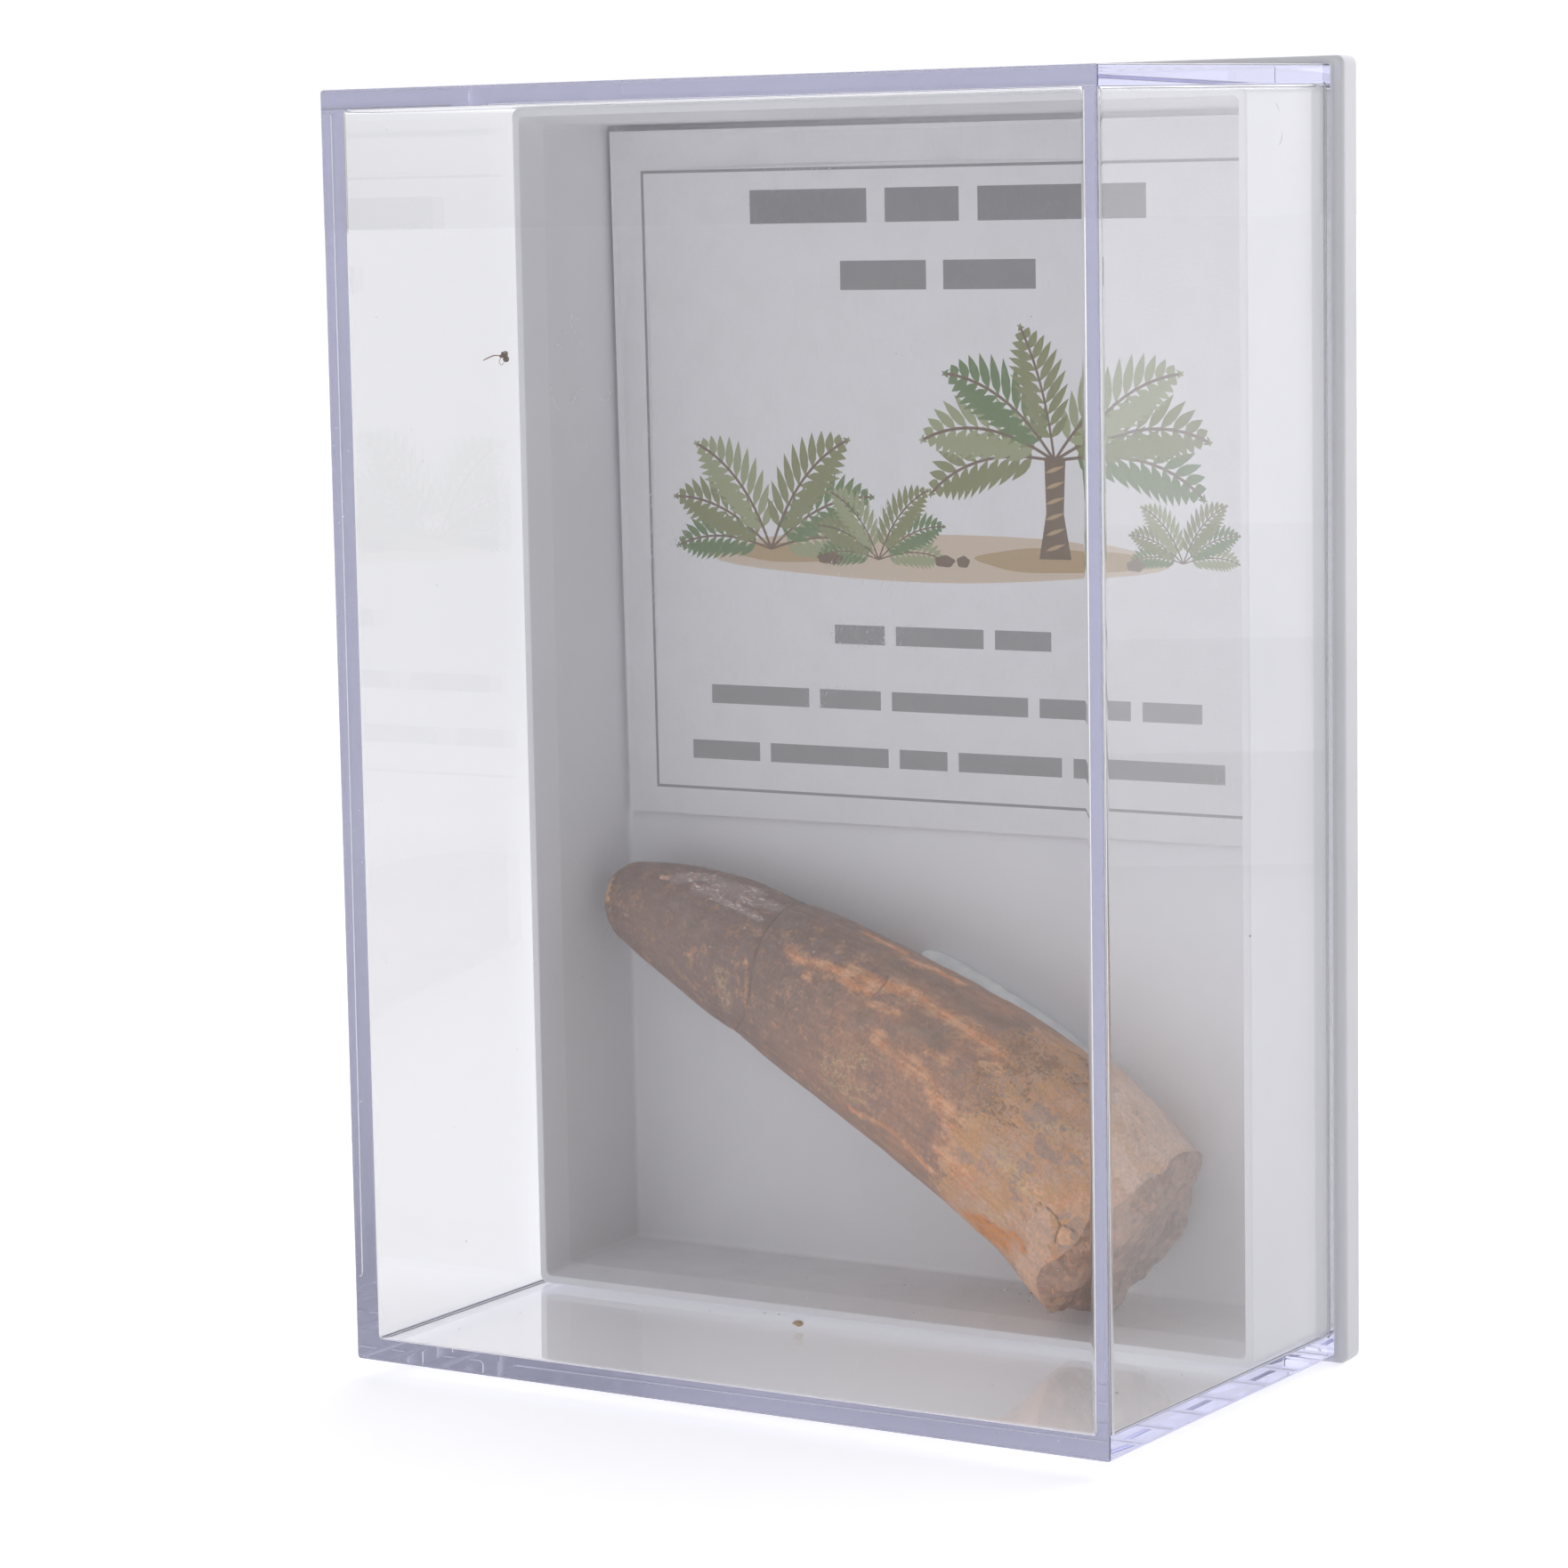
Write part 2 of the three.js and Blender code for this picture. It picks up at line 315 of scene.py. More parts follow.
@dataclass(frozen=True)
class Moulding:
    """A thin-walled box form: a section's corners carried round a rounded rectangle."""

    corners: tuple[Corner, ...]
    middle_z: float
    steps: int = 5
    support: float = 0.08
    usual_radius: float = 0.3

    def section(self) -> Array:
        """Rounds each corner of the section with an arc.

        The arc touches both sides at the radius over the tangent of half their angle, and
        a supporting point stands just beyond each end of it, so that flat sides shade flat.

        Returns:
            Rows of (y, half width, half height, ring radius).
        """
        rows = [self.row(self.corners[0], (self.corners[0].y, self.corners[0].half_width))]
        for before, here, after in zip(self.corners, self.corners[1:], self.corners[2:]):
            middle = np.array([here.y, here.half_width])
            back = np.array([before.y, before.half_width]) - middle
            onward = np.array([after.y, after.half_width]) - middle
            back, onward = unit(back), unit(onward)
            half_angle = np.arccos(np.clip(back @ onward, -1, 1)) / 2
            reach = here.rounding / np.tan(half_angle)
            centre = middle + unit(back + onward) * here.rounding / np.sin(half_angle)
            start, end = middle + back * reach - centre, middle + onward * reach - centre
            turn = np.pi - 2 * half_angle
            rows.append(self.row(here, middle + back * (reach + self.support)))
            for part in np.linspace(0, 1, self.steps):
                swing = np.sin((1 - part) * turn) * start + np.sin(part * turn) * end
                rows.append(self.row(here, centre + swing / np.sin(turn)))
            rows.append(self.row(here, middle + onward * (reach + self.support)))
        last = self.corners[-1]
        rows.append(self.row(last, (last.y, last.half_width)))
        return np.array(rows)

    @staticmethod
    def row(corner: Corner, place: Sequence[float]) -> list[float]:
        """One row of the section at a place, with the corner's own height over its width."""
        taller = corner.half_height - corner.half_width
        return [place[0], place[1], place[1] + taller, corner.ring_radius]

    def shell(self) -> Shell:
        """Carries the section round: each row is a rounded rectangle, and the ends are capped.

        Returns:
            The closed shell.
        """
        rows = self.section()
        angles = np.linspace(0, np.pi / 2, self.steps)
        arc = np.stack([np.cos(angles), np.sin(angles)], axis=-1)
        short = -self.support / self.usual_radius
        lead = np.array([[1.0, short], [short, 1.0]])
        quarter = np.vstack([lead[:1], arc, lead[1:]])
        turns = [np.array([[c, -s], [s, c]]) for c, s in ((1, 0), (0, 1), (-1, 0), (0, -1))]
        signs = np.array([[1, 1], [-1, 1], [-1, -1], [1, -1]])
        rings = []
        for y, wide, high, radius in rows:
            inner = np.array([wide - radius, high - radius])
            ring = np.vstack([sign * inner + radius * quarter @ turn.T for sign, turn in zip(signs, turns)])
            rings.append(np.column_stack([ring[:, 0], np.full(len(ring), y), ring[:, 1] + self.middle_z]))
        shell = Shell()
        index = shell.grid(np.array(rings), Wrap.AROUND)
        shell.cap(index[0], True)
        shell.cap(index[-1], False)
        return shell


def tube(path: Array, radius: Array, sides: int) -> Shell:
    """Carries a circle along a path: ring point = path + radius (cos a * side + sin a * over).

    Args:
        path: Points of the path, in millimetres.
        radius: The tube's radius at each point.
        sides: Points round the tube.

    Returns:
        The closed tube.
    """
    forward = unit(np.gradient(path, axis=0))
    side = unit(np.cross(forward, [0.31, 0.88, 0.35]))
    over = np.cross(forward, side)
    angle = round_angles(sides)[None, :, None]
    ring = np.cos(angle) * side[:, None, :] + np.sin(angle) * over[:, None, :]
    shell = Shell()
    shell.closed_tube(path[:, None, :] + ring * radius[:, None, None])
    return shell


# Materials


class Canvas:
    """A node tree with short ways of adding to it."""

    def __init__(self, tree: bpy.types.NodeTree) -> None:
        """Starts on the emptied tree of a material, a group or the world."""
        self.tree = tree
        tree.nodes.clear()

    def add(
        self, kind: str, inputs: dict[str | int, object] | None = None, **settings: object
    ) -> bpy.types.Node:
        """Adds a node.

        Args:
            kind: The node's type name.
            inputs: Values or sockets for its inputs, by name or number.
            **settings: The node's own properties.

        Returns:
            The node.
        """
        node = self.tree.nodes.new(kind)
        for key, value in settings.items():
            setattr(node, key, value)
        self.fill(node, inputs or {})
        return node

    def fill(self, node: bpy.types.Node, inputs: dict[str | int, object]) -> None:
        """Feeds a node's inputs by name or number."""
        for key, value in inputs.items():
            self.feed(node.inputs[key], value)

    def feed(self, target: Socket, value: object) -> None:
        """Links a socket or sets a plain value, with an alpha of 1 added to a colour.

        Args:
            target: The input.
            value: A socket, a number or a tuple.
        """
        if isinstance(value, bpy.types.NodeSocket):
            self.tree.links.new(value, target)
        elif target.type == "RGBA" and len(value) == 3:
            target.default_value = (*value, 1.0)
        else:
            target.default_value = value

    def math(self, operation: str, a: object, b: object = 0.0, clamp: bool = False) -> Socket:
        """A Math node on two values or sockets, its result held between 0 and 1 if clamped."""
        return self.add("ShaderNodeMath", {0: a, 1: b}, operation=operation, use_clamp=clamp).outputs[0]

    def plus(self, a: object, b: object) -> Socket:
        """The sum of two values."""
        return self.math("ADD", a, b)

    def times(self, a: object, b: object) -> Socket:
        """The product of two values."""
        return self.math("MULTIPLY", a, b)

    def vector(self, operation: str, a: object, b: object) -> Socket:
        """A Vector Math node on two vectors."""
        return self.add("ShaderNodeVectorMath", {0: a, 1: b}, operation=operation).outputs[0]

    def mix(self, factor: object, a: object, b: object, blend: str = "MIX") -> Socket:
        """A Mix node on two colours.

        Args:
            factor: How much of the second colour shows.
            a: First colour or socket.
            b: Second colour or socket.
            blend: The blend type.

        Returns:
            The result's socket.
        """
        node = self.add("ShaderNodeMix", data_type="RGBA", blend_type=blend, clamp_factor=True)
        self.fill(node, {0: factor, 6: a, 7: b})
        return node.outputs[2]

    def remap(
        self, value: object, low: float, high: float, to_low: float = 0.0, to_high: float = 1.0
    ) -> Socket:
        """A smooth Map Range node, from low and high to to_low and to_high."""
        values = {0: value, 1: low, 2: high, 3: to_low, 4: to_high}
        return self.add("ShaderNodeMapRange", values, interpolation_type="SMOOTHSTEP").outputs[0]

    def stretched(self, vector: Socket, scale: Place, turn: Place = (0.0, 0.0, 0.0)) -> Socket:
        """Turns a coordinate back by some angles, then scales it, so that a pattern lies turned.

        Args:
            vector: The coordinate.
            scale: Factor on each axis of the pattern.
            turn: Turn of the pattern about each axis, in degrees.

        Returns:
            The changed coordinate's socket.
        """
        sizes = tuple(1.0 / s for s in scale)
        values = {"Vector": vector, "Scale": sizes, "Rotation": tuple(np.radians(turn))}
        return self.add("ShaderNodeMapping", values, vector_type="TEXTURE").outputs[0]

    def noise(self, vector: Socket, scale: float, detail: float = 3.0, roughness: float = 0.55) -> Socket:
        """Value of a Noise Texture, 0.5 on average, with its scale in cells to the metre."""
        values = {"Vector": vector, "Scale": scale, "Detail": detail, "Roughness": roughness}
        return self.add("ShaderNodeTexNoise", values).outputs["Fac"]

    def specks(self, vector: Socket, scale: float, size: float, share: float) -> Socket:
        """Round specks in some of a Voronoi pattern's cells.

        Args:
            vector: The coordinate, in metres.
            scale: Cells to the metre.
            size: Radius of a speck in cells.
            share: Share of the cells that have one.

        Returns:
            Mask that is 1 on a speck.
        """
        cells = self.add("ShaderNodeTexVoronoi", {"Vector": vector, "Scale": scale})
        near = self.remap(cells.outputs["Distance"], size, size * 0.4)
        pick = self.add("ShaderNodeSeparateColor", {0: cells.outputs["Color"]}).outputs[0]
        return self.times(near, self.math("LESS_THAN", pick, share))

    def bump(self, height: Socket, strength: float, distance: float) -> Socket:
        """The normal from a height field of 0 to 1 whose depth is a distance in metres."""
        values = {"Strength": strength, "Distance": distance, "Height": height}
        return self.add("ShaderNodeBump", values).outputs[0]

    def attribute(self, name: str) -> bpy.types.Node:
        """An Attribute node for a mesh attribute of that name."""
        return self.add("ShaderNodeAttribute", attribute_name=name)

    def channels(self, name: str) -> tuple[Socket, Socket, Socket]:
        """The red, green and blue fields of a colour attribute."""
        parts = self.add("ShaderNodeSeparateColor", {0: self.attribute(name).outputs["Color"]}).outputs
        return parts[0], parts[1], parts[2]

    def place(self) -> Socket:
        """The object coordinate."""
        return self.add("ShaderNodeTexCoord").outputs["Object"]


class Effect(Enum):
    """The effects that several materials share, each a node group."""

    DUST = "dust_film"
    GRAIN = "moulded_grain"
    SCRATCHES = "hair_scratches"


class Effects:
    """Builds each shared effect once and places it in materials."""

    built: dict[Effect, bpy.types.NodeTree] = {}

    @classmethod
    def place(cls, canvas: Canvas, effect: Effect, **values: float) -> Socket:
        """Adds an effect's group to a material.

        Args:
            canvas: The material's canvas.
            effect: Which effect.
            **values: The group's inputs by name.

        Returns:
            The effect's output socket.
        """
        if effect not in cls.built:
            cls.built[effect] = cls.build(effect)
        node = canvas.add("ShaderNodeGroup", node_tree=cls.built[effect])
        canvas.fill(node, values)
        return node.outputs[0]

    @classmethod
    def build(cls, effect: Effect) -> bpy.types.NodeTree:
        """Makes an effect's group with its inputs and its one output.

        Args:
            effect: Which effect.

        Returns:
            The node group.
        """
        tree = bpy.data.node_groups.new(effect.value, "ShaderNodeTree")
        inputs = {
            Effect.DUST: (("Scale", 900.0), ("Amount", 0.3)),
            Effect.GRAIN: (("Scale", 4000.0), ("Depth", 1.0)),
            Effect.SCRATCHES: (("Scale", 260.0), ("Amount", 0.5)),
        }[effect]
        for name, value in inputs:
            socket = tree.interface.new_socket(name=name, in_out="INPUT", socket_type="NodeSocketFloat")
            socket.default_value = value
        tree.interface.new_socket(name="Value", in_out="OUTPUT", socket_type="NodeSocketFloat")
        canvas = Canvas(tree)
        source = canvas.add("NodeGroupInput").outputs
        maker = {Effect.DUST: cls.dust, Effect.GRAIN: cls.grain, Effect.SCRATCHES: cls.scratches}[effect]
        canvas.add("NodeGroupOutput", {0: maker(canvas, source[0], source[1])})
        return tree

    @staticmethod
    def dust(canvas: Canvas, scale: Socket, amount: Socket) -> Socket:
        """Dust that gathers on upward faces in cloudy patches, with a few specks anywhere.

        Args:
            canvas: The group's canvas.
            scale: Cloud cells to the metre.
            amount: Strength of the dust.

        Returns:
            The dust's mask.
        """
        place = canvas.place()
        normal = canvas.add("ShaderNodeNewGeometry").outputs["Normal"]
        up = canvas.remap(canvas.add("ShaderNodeSeparateXYZ", {0: normal}).outputs[2], -0.2, 0.9, 0.25, 1.0)
        cloud = canvas.remap(canvas.noise(place, scale, 4.0), 0.42, 0.7)
        film = canvas.times(up, cloud)
        specks = canvas.specks(place, 2600.0, 0.16, 0.06)
        both = canvas.plus(film, canvas.times(specks, 1.4))
        return canvas.math("MULTIPLY", both, amount, clamp=True)

    @staticmethod
    def grain(canvas: Canvas, scale: Socket, depth: Socket) -> Socket:
        """Fine even grain with a slow swell under it.

        Args:
            canvas: The group's canvas.
            scale: Grains to the metre.
            depth: Height of the grain.

        Returns:
            The height field.
        """
        place = canvas.place()
        fine = canvas.noise(place, scale, 1.0)
        slow = canvas.noise(place, 120.0, 0.0)
        return canvas.times(canvas.plus(fine, canvas.times(slow, 0.6)), depth)

    @staticmethod
    def scratches(canvas: Canvas, scale: Socket, amount: Socket) -> Socket:
        """Hairlines in two directions: long thin noise cells, cut to their crests.

        Args:
            canvas: The group's canvas.
            scale: Cells to the metre across a hairline's length.
            amount: Strength of the hairlines.

        Returns:
            The hairlines' mask.
        """
        place = canvas.place()
        total: object = 0.0
        for turn in ((0.0, 28.0, 12.0), (0.0, -51.0, 40.0)):
            lines = canvas.noise(canvas.stretched(place, (55.0, 55.0, 1.1), turn), scale, 0.0)
            total = canvas.plus(total, canvas.remap(lines, 0.735, 0.78))
        where = canvas.remap(canvas.noise(place, 70.0, 0.0), 0.45, 0.7)
        return canvas.math("MULTIPLY", canvas.times(total, where), amount, clamp=True)


def new_material(name: str) -> tuple[bpy.types.Material, Canvas, bpy.types.Node]:
    """An empty material with its Principled shader and output.

    Args:
        name: The material's name.

    Returns:
        The material, its canvas and its Principled node.
    """
    material = bpy.data.materials.new(name)
    material.use_nodes = True
    canvas = Canvas(material.node_tree)
    shader = canvas.add("ShaderNodeBsdfPrincipled")
    canvas.add("ShaderNodeOutputMaterial", {"Surface": shader.outputs[0]})
    return material, canvas, shader


@dataclass(frozen=True)
class WhiteMoulding:
    """Satin white styrene of the tray, faintly grained, with dust on its ledges."""

    colour: Colour = (0.765, 0.765, 0.785)
    shade: Colour = (0.735, 0.737, 0.760)
    dust: Colour = (0.50, 0.48, 0.45)
    roughness: Pair = (0.34, 0.41)
    ior: float = 1.55

    def material(self) -> bpy.types.Material:
        """Builds the material.

        Returns:
            The material.
        """
        material, canvas, shader = new_material("white_moulding")
        place = canvas.place()
        cloud = canvas.remap(canvas.noise(place, 60.0, 2.0), 0.35, 0.65)
        dust = Effects.place(canvas, Effect.DUST, Scale=420.0, Amount=0.1)
        rough = canvas.remap(cloud, 0.0, 1.0, *self.roughness)
        grain = Effects.place(canvas, Effect.GRAIN, Scale=5200.0, Depth=1.0)
        looks = {
            "Base Color": canvas.mix(dust, canvas.mix(cloud, self.colour, self.shade), self.dust),
            "Roughness": canvas.plus(rough, canvas.times(dust, 0.8)),
            "Normal": canvas.bump(grain, 0.2, 0.00003),
            "IOR": self.ior,
        }
        canvas.fill(shader, looks)
        return material


@dataclass(frozen=True)
class ClearStyrene:
    """Clear styrene of the lid: violet where light runs far through it, with fine hairlines."""

    ior: float = 1.59
    hairline_roughness: float = 0.3
    absorption: Colour = (0.10, 0.13, 0.95)
    density: float = 4.5

    def material(self) -> bpy.types.Material:
        """Builds the material.

        Returns:
            The material.
        """
        material, canvas, shader = new_material("clear_styrene")
        hairs = Effects.place(canvas, Effect.SCRATCHES, Scale=260.0, Amount=0.5)
        looks = {
            "Base Color": (1.0, 1.0, 1.0),
            "Transmission Weight": 1.0,
            "IOR": self.ior,
            "Roughness": canvas.remap(hairs, 0.0, 1.0, 0.0, self.hairline_roughness),
        }
        canvas.fill(shader, looks)
        depth = {"Color": self.absorption, "Density": self.density}
        volume = canvas.add("ShaderNodeVolumeAbsorption", depth)
        output = next(node for node in canvas.tree.nodes if node.type == "OUTPUT_MATERIAL")
        canvas.fill(output, {"Volume": volume.outputs[0]})
        return material


@dataclass(frozen=True)
class PrintedCard:
    """Matt card with flat inks, which the mesh carries as a colour attribute."""

    fibre: Colour = (0.58, 0.57, 0.56)
    dust: Colour = (0.42, 0.40, 0.38)
    roughness: Pair = (0.62, 0.77)

    def material(self) -> bpy.types.Material:
        """Builds the material.

        Returns:
            The material.
        """
        material, canvas, shader = new_material("printed_card")
        place = canvas.place()
        ink = canvas.attribute("ink").outputs["Color"]
        paper = canvas.noise(canvas.stretched(place, (1.0, 1.0, 0.5)), 3600.0, 4.0)
        mottle = canvas.remap(canvas.noise(place, 380.0, 3.0), 0.4, 0.7, 0.0, 0.06)
        colour = canvas.mix(canvas.remap(paper, 0.45, 0.8, 0.0, 0.12), ink, self.fibre)
        colour = canvas.mix(mottle, colour, self.dust)
        dust = Effects.place(canvas, Effect.DUST, Scale=700.0, Amount=0.05)
        grain = Effects.place(canvas, Effect.GRAIN, Scale=6000.0, Depth=1.0)
        looks = {
            "Base Color": canvas.mix(dust, colour, self.dust),
            "Roughness": canvas.remap(paper, 0.3, 0.7, *self.roughness),
            "Normal": canvas.bump(grain, 0.3, 0.00003),
        }
        canvas.fill(shader, looks)
        return material


@dataclass(frozen=True)
class FossilEnamel:
    """Fossil enamel and dentine: plum brown at the tip, buff at the base, stained in stripes."""

    tip: Colour = (0.266, 0.156, 0.126)
    body: Colour = (0.412, 0.200, 0.110)
    plum: Colour = (0.245, 0.142, 0.115)
    warm: Colour = (0.540, 0.250, 0.120)
    olive: Colour = (0.225, 0.165, 0.095)
    russet: Colour = (0.400, 0.150, 0.075)
    slate: Colour = (0.205, 0.126, 0.090)
    orange: Colour = (0.760, 0.290, 0.095)
    apricot: Colour = (0.860, 0.460, 0.235)
    buff: Colour = (0.640, 0.325, 0.172)
    pink: Colour = (0.700, 0.435, 0.295)
    ochre: Colour = (0.690, 0.340, 0.100)
    grey: Colour = (0.420, 0.265, 0.205)
    rust: Colour = (0.690, 0.215, 0.004)
    umber: Colour = (0.270, 0.120, 0.050)
    straw: Colour = (0.640, 0.450, 0.200)
    chip: Colour = (0.820, 0.760, 0.740)
    lilac: Colour = (0.500, 0.385, 0.370)
    pit: Colour = (0.190, 0.075, 0.040)
    broken: Colour = (0.470, 0.265, 0.160)
    crack: Colour = (0.130, 0.068, 0.045)
    tip_tone: float = 0.74
    roughness: Pair = (0.42, 0.60)
    ior: float = 1.52

    def material(self) -> bpy.types.Material:
        """Lays coat over coat, then gives the surface its roughness and its relief.

        Returns:
            The material.
        """
        material, canvas, shader = new_material("fossil_enamel")
        coats = FossilCoats(canvas, self)
        coats.enamel()
        coats.base()
        coats.stripes()
        pits = coats.pits()
        broken = coats.fracture()
        white = coats.chips()
        coats.speckle()
        line = coats.crack_lines()
        coats.cover(canvas.specks(coats.straight, 1050.0, 0.10, 0.04), 0.6, self.chip)
        dust = Effects.place(canvas, Effect.DUST, Scale=900.0, Amount=0.06)
        coats.cover(dust, 1.0, self.chip)

        rough = canvas.remap(coats.noises["fine"], 0.3, 0.7, *self.roughness)
        dull = canvas.times(canvas.math("MAXIMUM", broken, white), 0.3)
        relief = coats.weighed(0.0, {"ridges": 0.5, "mottle": 0.9, "fine": 0.35, "grit": 0.12})
        for mask, depth in ((line, 0.5), (pits, 0.6)):
            relief = canvas.math("SUBTRACT", relief, canvas.times(mask, depth))
        looks = {
            "Base Color": coats.colour,
            "Roughness": canvas.plus(rough, dull),
            "Normal": canvas.bump(relief, 0.8, 0.00014),
            "IOR": self.ior,
        }
        canvas.fill(shader, looks)
        return material


class FossilCoats:
    """The fossil's colour in the making: each coat goes over the last, broken up by shared noises."""

    def __init__(self, canvas: Canvas, hues: FossilEnamel) -> None:
        """Reads the tooth's stains and makes the noises on its straightened form.

        "wobble" breaks up the stains' edges, and "cells" and "rims" are islands about
        1.5 mm across and the lines between them.

        Args:
            canvas: The material's canvas.
            hues: The finish, for its colours.
        """
        self.canvas = canvas
        self.hues = hues
        self.colour: object = hues.body
        self.stains: dict[str, Socket] = {}
        for layer, names in STAIN_LAYERS.items():
            self.stains.update(zip(names, canvas.channels(layer)))
        self.straight = straight = canvas.attribute("straight").outputs["Vector"]
        self.noises = {
            "ridges": canvas.noise(canvas.stretched(straight, (1.0, 0.14, 1.0)), 2600.0, 3.0, 0.6),
            "clouds": canvas.noise(straight, 330.0, 3.0, 0.62),
            "patches": canvas.noise(canvas.stretched(straight, (0.9, 0.8, 0.9)), 620.0, 3.0, 0.6),
            "mottle": canvas.noise(canvas.stretched(straight, (1.0, 0.85, 1.0)), 1350.0, 4.0, 0.70),
            "fine": canvas.noise(straight, 4300.0, 2.0, 0.65),
            "grit": canvas.noise(straight, 9500.0, 1.0, 0.6),
        }
        wobble = self.weighed(-0.5, {"clouds": 0.25, "mottle": 0.40, "fine": 0.35})
        self.noises["wobble"] = canvas.times(wobble, 2.3)
        swirl = canvas.add("ShaderNodeTexNoise", {"Vector": straight, "Scale": 900.0, "Detail": 3.0})
        drift = canvas.vector("SUBTRACT", swirl.outputs["Color"], (0.5, 0.5, 0.5))
        drift = canvas.vector("MULTIPLY", drift, (0.0022, 0.0022, 0.0022))
        islands = {"Vector": canvas.vector("ADD", straight, drift), "Scale": 640.0}
        cell = canvas.add("ShaderNodeTexVoronoi", islands)
        self.noises["cells"] = canvas.add("ShaderNodeSeparateColor", {0: cell.outputs["Color"]}).outputs[0]
        rims = canvas.add("ShaderNodeTexVoronoi", islands, feature="DISTANCE_TO_EDGE")
        self.noises["rims"] = canvas.remap(rims.outputs["Distance"], 0.10, 0.02)

    def weighed(self, start: float, weights: dict[str, float]) -> Socket:
        """Adds up noises, each times its weight.

        Args:
            start: What the sum starts from.
            weights: The noises' weights by name.

        Returns:
            The sum.
        """
        total: object = start
        for name, weight in weights.items():
            total = self.canvas.plus(total, self.canvas.times(self.noises[name], weight))
        return total

    def band(self, name: str, low: float, high: float, share: float = 1.0) -> Socket:
        """A mask that rises to the share as the named noise goes from low to high."""
        return self.canvas.remap(self.noises[name], low, high, 0.0, share)

    def veil(self, under: object, name: str, low: float, high: float, share: float, over: Colour) -> Socket:
        """One colour laid over another by a noise's band."""
        return self.canvas.mix(self.band(name, low, high, share), under, over)

    def spread(self, name: str, soft: float) -> Socket:
        """A stain's mask with its edge broken up by noise, blended over twice the softness."""
        broken = self.canvas.plus(self.stains[name], self.noises["wobble"])
        return self.canvas.remap(broken, 0.5 - soft, 0.5 + soft)

    def cover(self, mask: Socket, share: float, over: object) -> None:
        """Lays a coat over what is there, by a share of its mask."""
        self.colour = self.canvas.mix(self.canvas.times(mask, share), self.colour, over)

    def tone(self, value: Socket) -> None:
        """Makes what is there lighter or darker by a value."""
        grey = self.canvas.add("ShaderNodeCombineColor", {0: value, 1: value, 2: value}).outputs[0]
        self.colour = self.canvas.mix(1.0, self.colour, grey, "MULTIPLY")

    def enamel(self) -> None:
        """Plum brown that turns warmer towards the base, clouded, mottled, patched and veined."""
        canvas, hues = self.canvas, self.hues
        along = canvas.add("ShaderNodeSeparateXYZ", {0: self.straight}).outputs[1]
        colour = canvas.mix(canvas.remap(along, 0.013, 0.026), hues.tip, hues.body)
        colour = self.veil(colour, "clouds", 0.44, 0.62, 0.55, hues.plum)
        colour = self.veil(colour, "mottle", 0.50, 0.66, 0.60, hues.warm)
        self.colour = self.veil(colour, "patches", 0.56, 0.68, 0.50, hues.olive)
        self.tone(canvas.remap(along, 0.014, 0.027, hues.tip_tone, 1.0))
        self.cover(self.spread("slate", 0.35), 0.65, hues.slate)
        crest = canvas.math("ABSOLUTE", canvas.math("SUBTRACT", self.noises["mottle"], 0.5))
        where = canvas.remap(self.stains["veins"], 0.15, 0.75)
        self.cover(canvas.times(canvas.remap(crest, 0.03, 0.004), where), 0.75, hues.straw)

    def base(self) -> None:
        """Bare dentine towards the base: buff and pink islands with ochre lines between them."""
        canvas, hues = self.canvas, self.hues
        ground = self.veil(hues.buff, "mottle", 0.40, 0.62, 1.0, hues.pink)
        ground = self.veil(ground, "patches", 0.46, 0.62, 0.7, hues.ochre)
        island = canvas.times(self.band("cells", 0.55, 0.75), self.band("rims", 1.0, 0.0))
        ground = canvas.mix(canvas.times(island, 0.75), ground, hues.grey)
        ground = canvas.mix(canvas.times(self.noises["rims"], 0.5), ground, hues.ochre)
        ground = self.veil(ground, "fine", 0.52, 0.66, 0.38, hues.russet)
        self.cover(self.spread("buff", 0.26), 0.95, ground)
        self.cover(self.spread("facets", 0.15), 0.8, hues.pink)
        self.cover(self.spread("pale", 0.2), 0.8, hues.apricot)

    def stripes(self) -> None:
        """Fuzzy orange stripes, the rust by the lower edge and the yellow tinge."""
        canvas, hues = self.canvas, self.hues
        stripe = self.veil(hues.orange, "mottle", 0.44, 0.60, 1.0, hues.apricot)
        stripe = self.veil(stripe, "fine", 0.50, 0.64, 0.45, hues.russet)
        streaks = canvas.remap(self.noises["ridges"], 0.40, 0.56, 0.72, 1.0)
        self.cover(canvas.times(self.spread("orange", 0.5), streaks), 1.0, stripe)
        stripe = self.veil(hues.rust, "mottle", 0.50, 0.64, 0.6, hues.umber)
        self.cover(self.spread("rust", 0.42), 1.0, stripe)
        tinge = canvas.times(self.spread("yellow", 0.4), self.band("fine", 0.4, 0.6))
        self.cover(tinge, 0.6, hues.straw)

    def pits(self) -> Socket:
        """Red-brown pits with ochre round them, thick in the pitted zones.

        Returns:
            The pits' mask.
        """
        canvas, pores = self.canvas, self.stains["pores"]
        zone = canvas.remap(pores, 0.05, 0.55)
        deep = canvas.plus(self.weighed(0.0, {"mottle": 1.0, "fine": 0.6}), canvas.times(pores, 0.10))
        self.cover(canvas.times(canvas.remap(deep, 0.80, 0.88), zone), 0.5, self.hues.ochre)
        hole = canvas.times(canvas.remap(deep, 0.88, 0.95), zone)
        self.cover(hole, 0.65, self.hues.pit)
        return hole

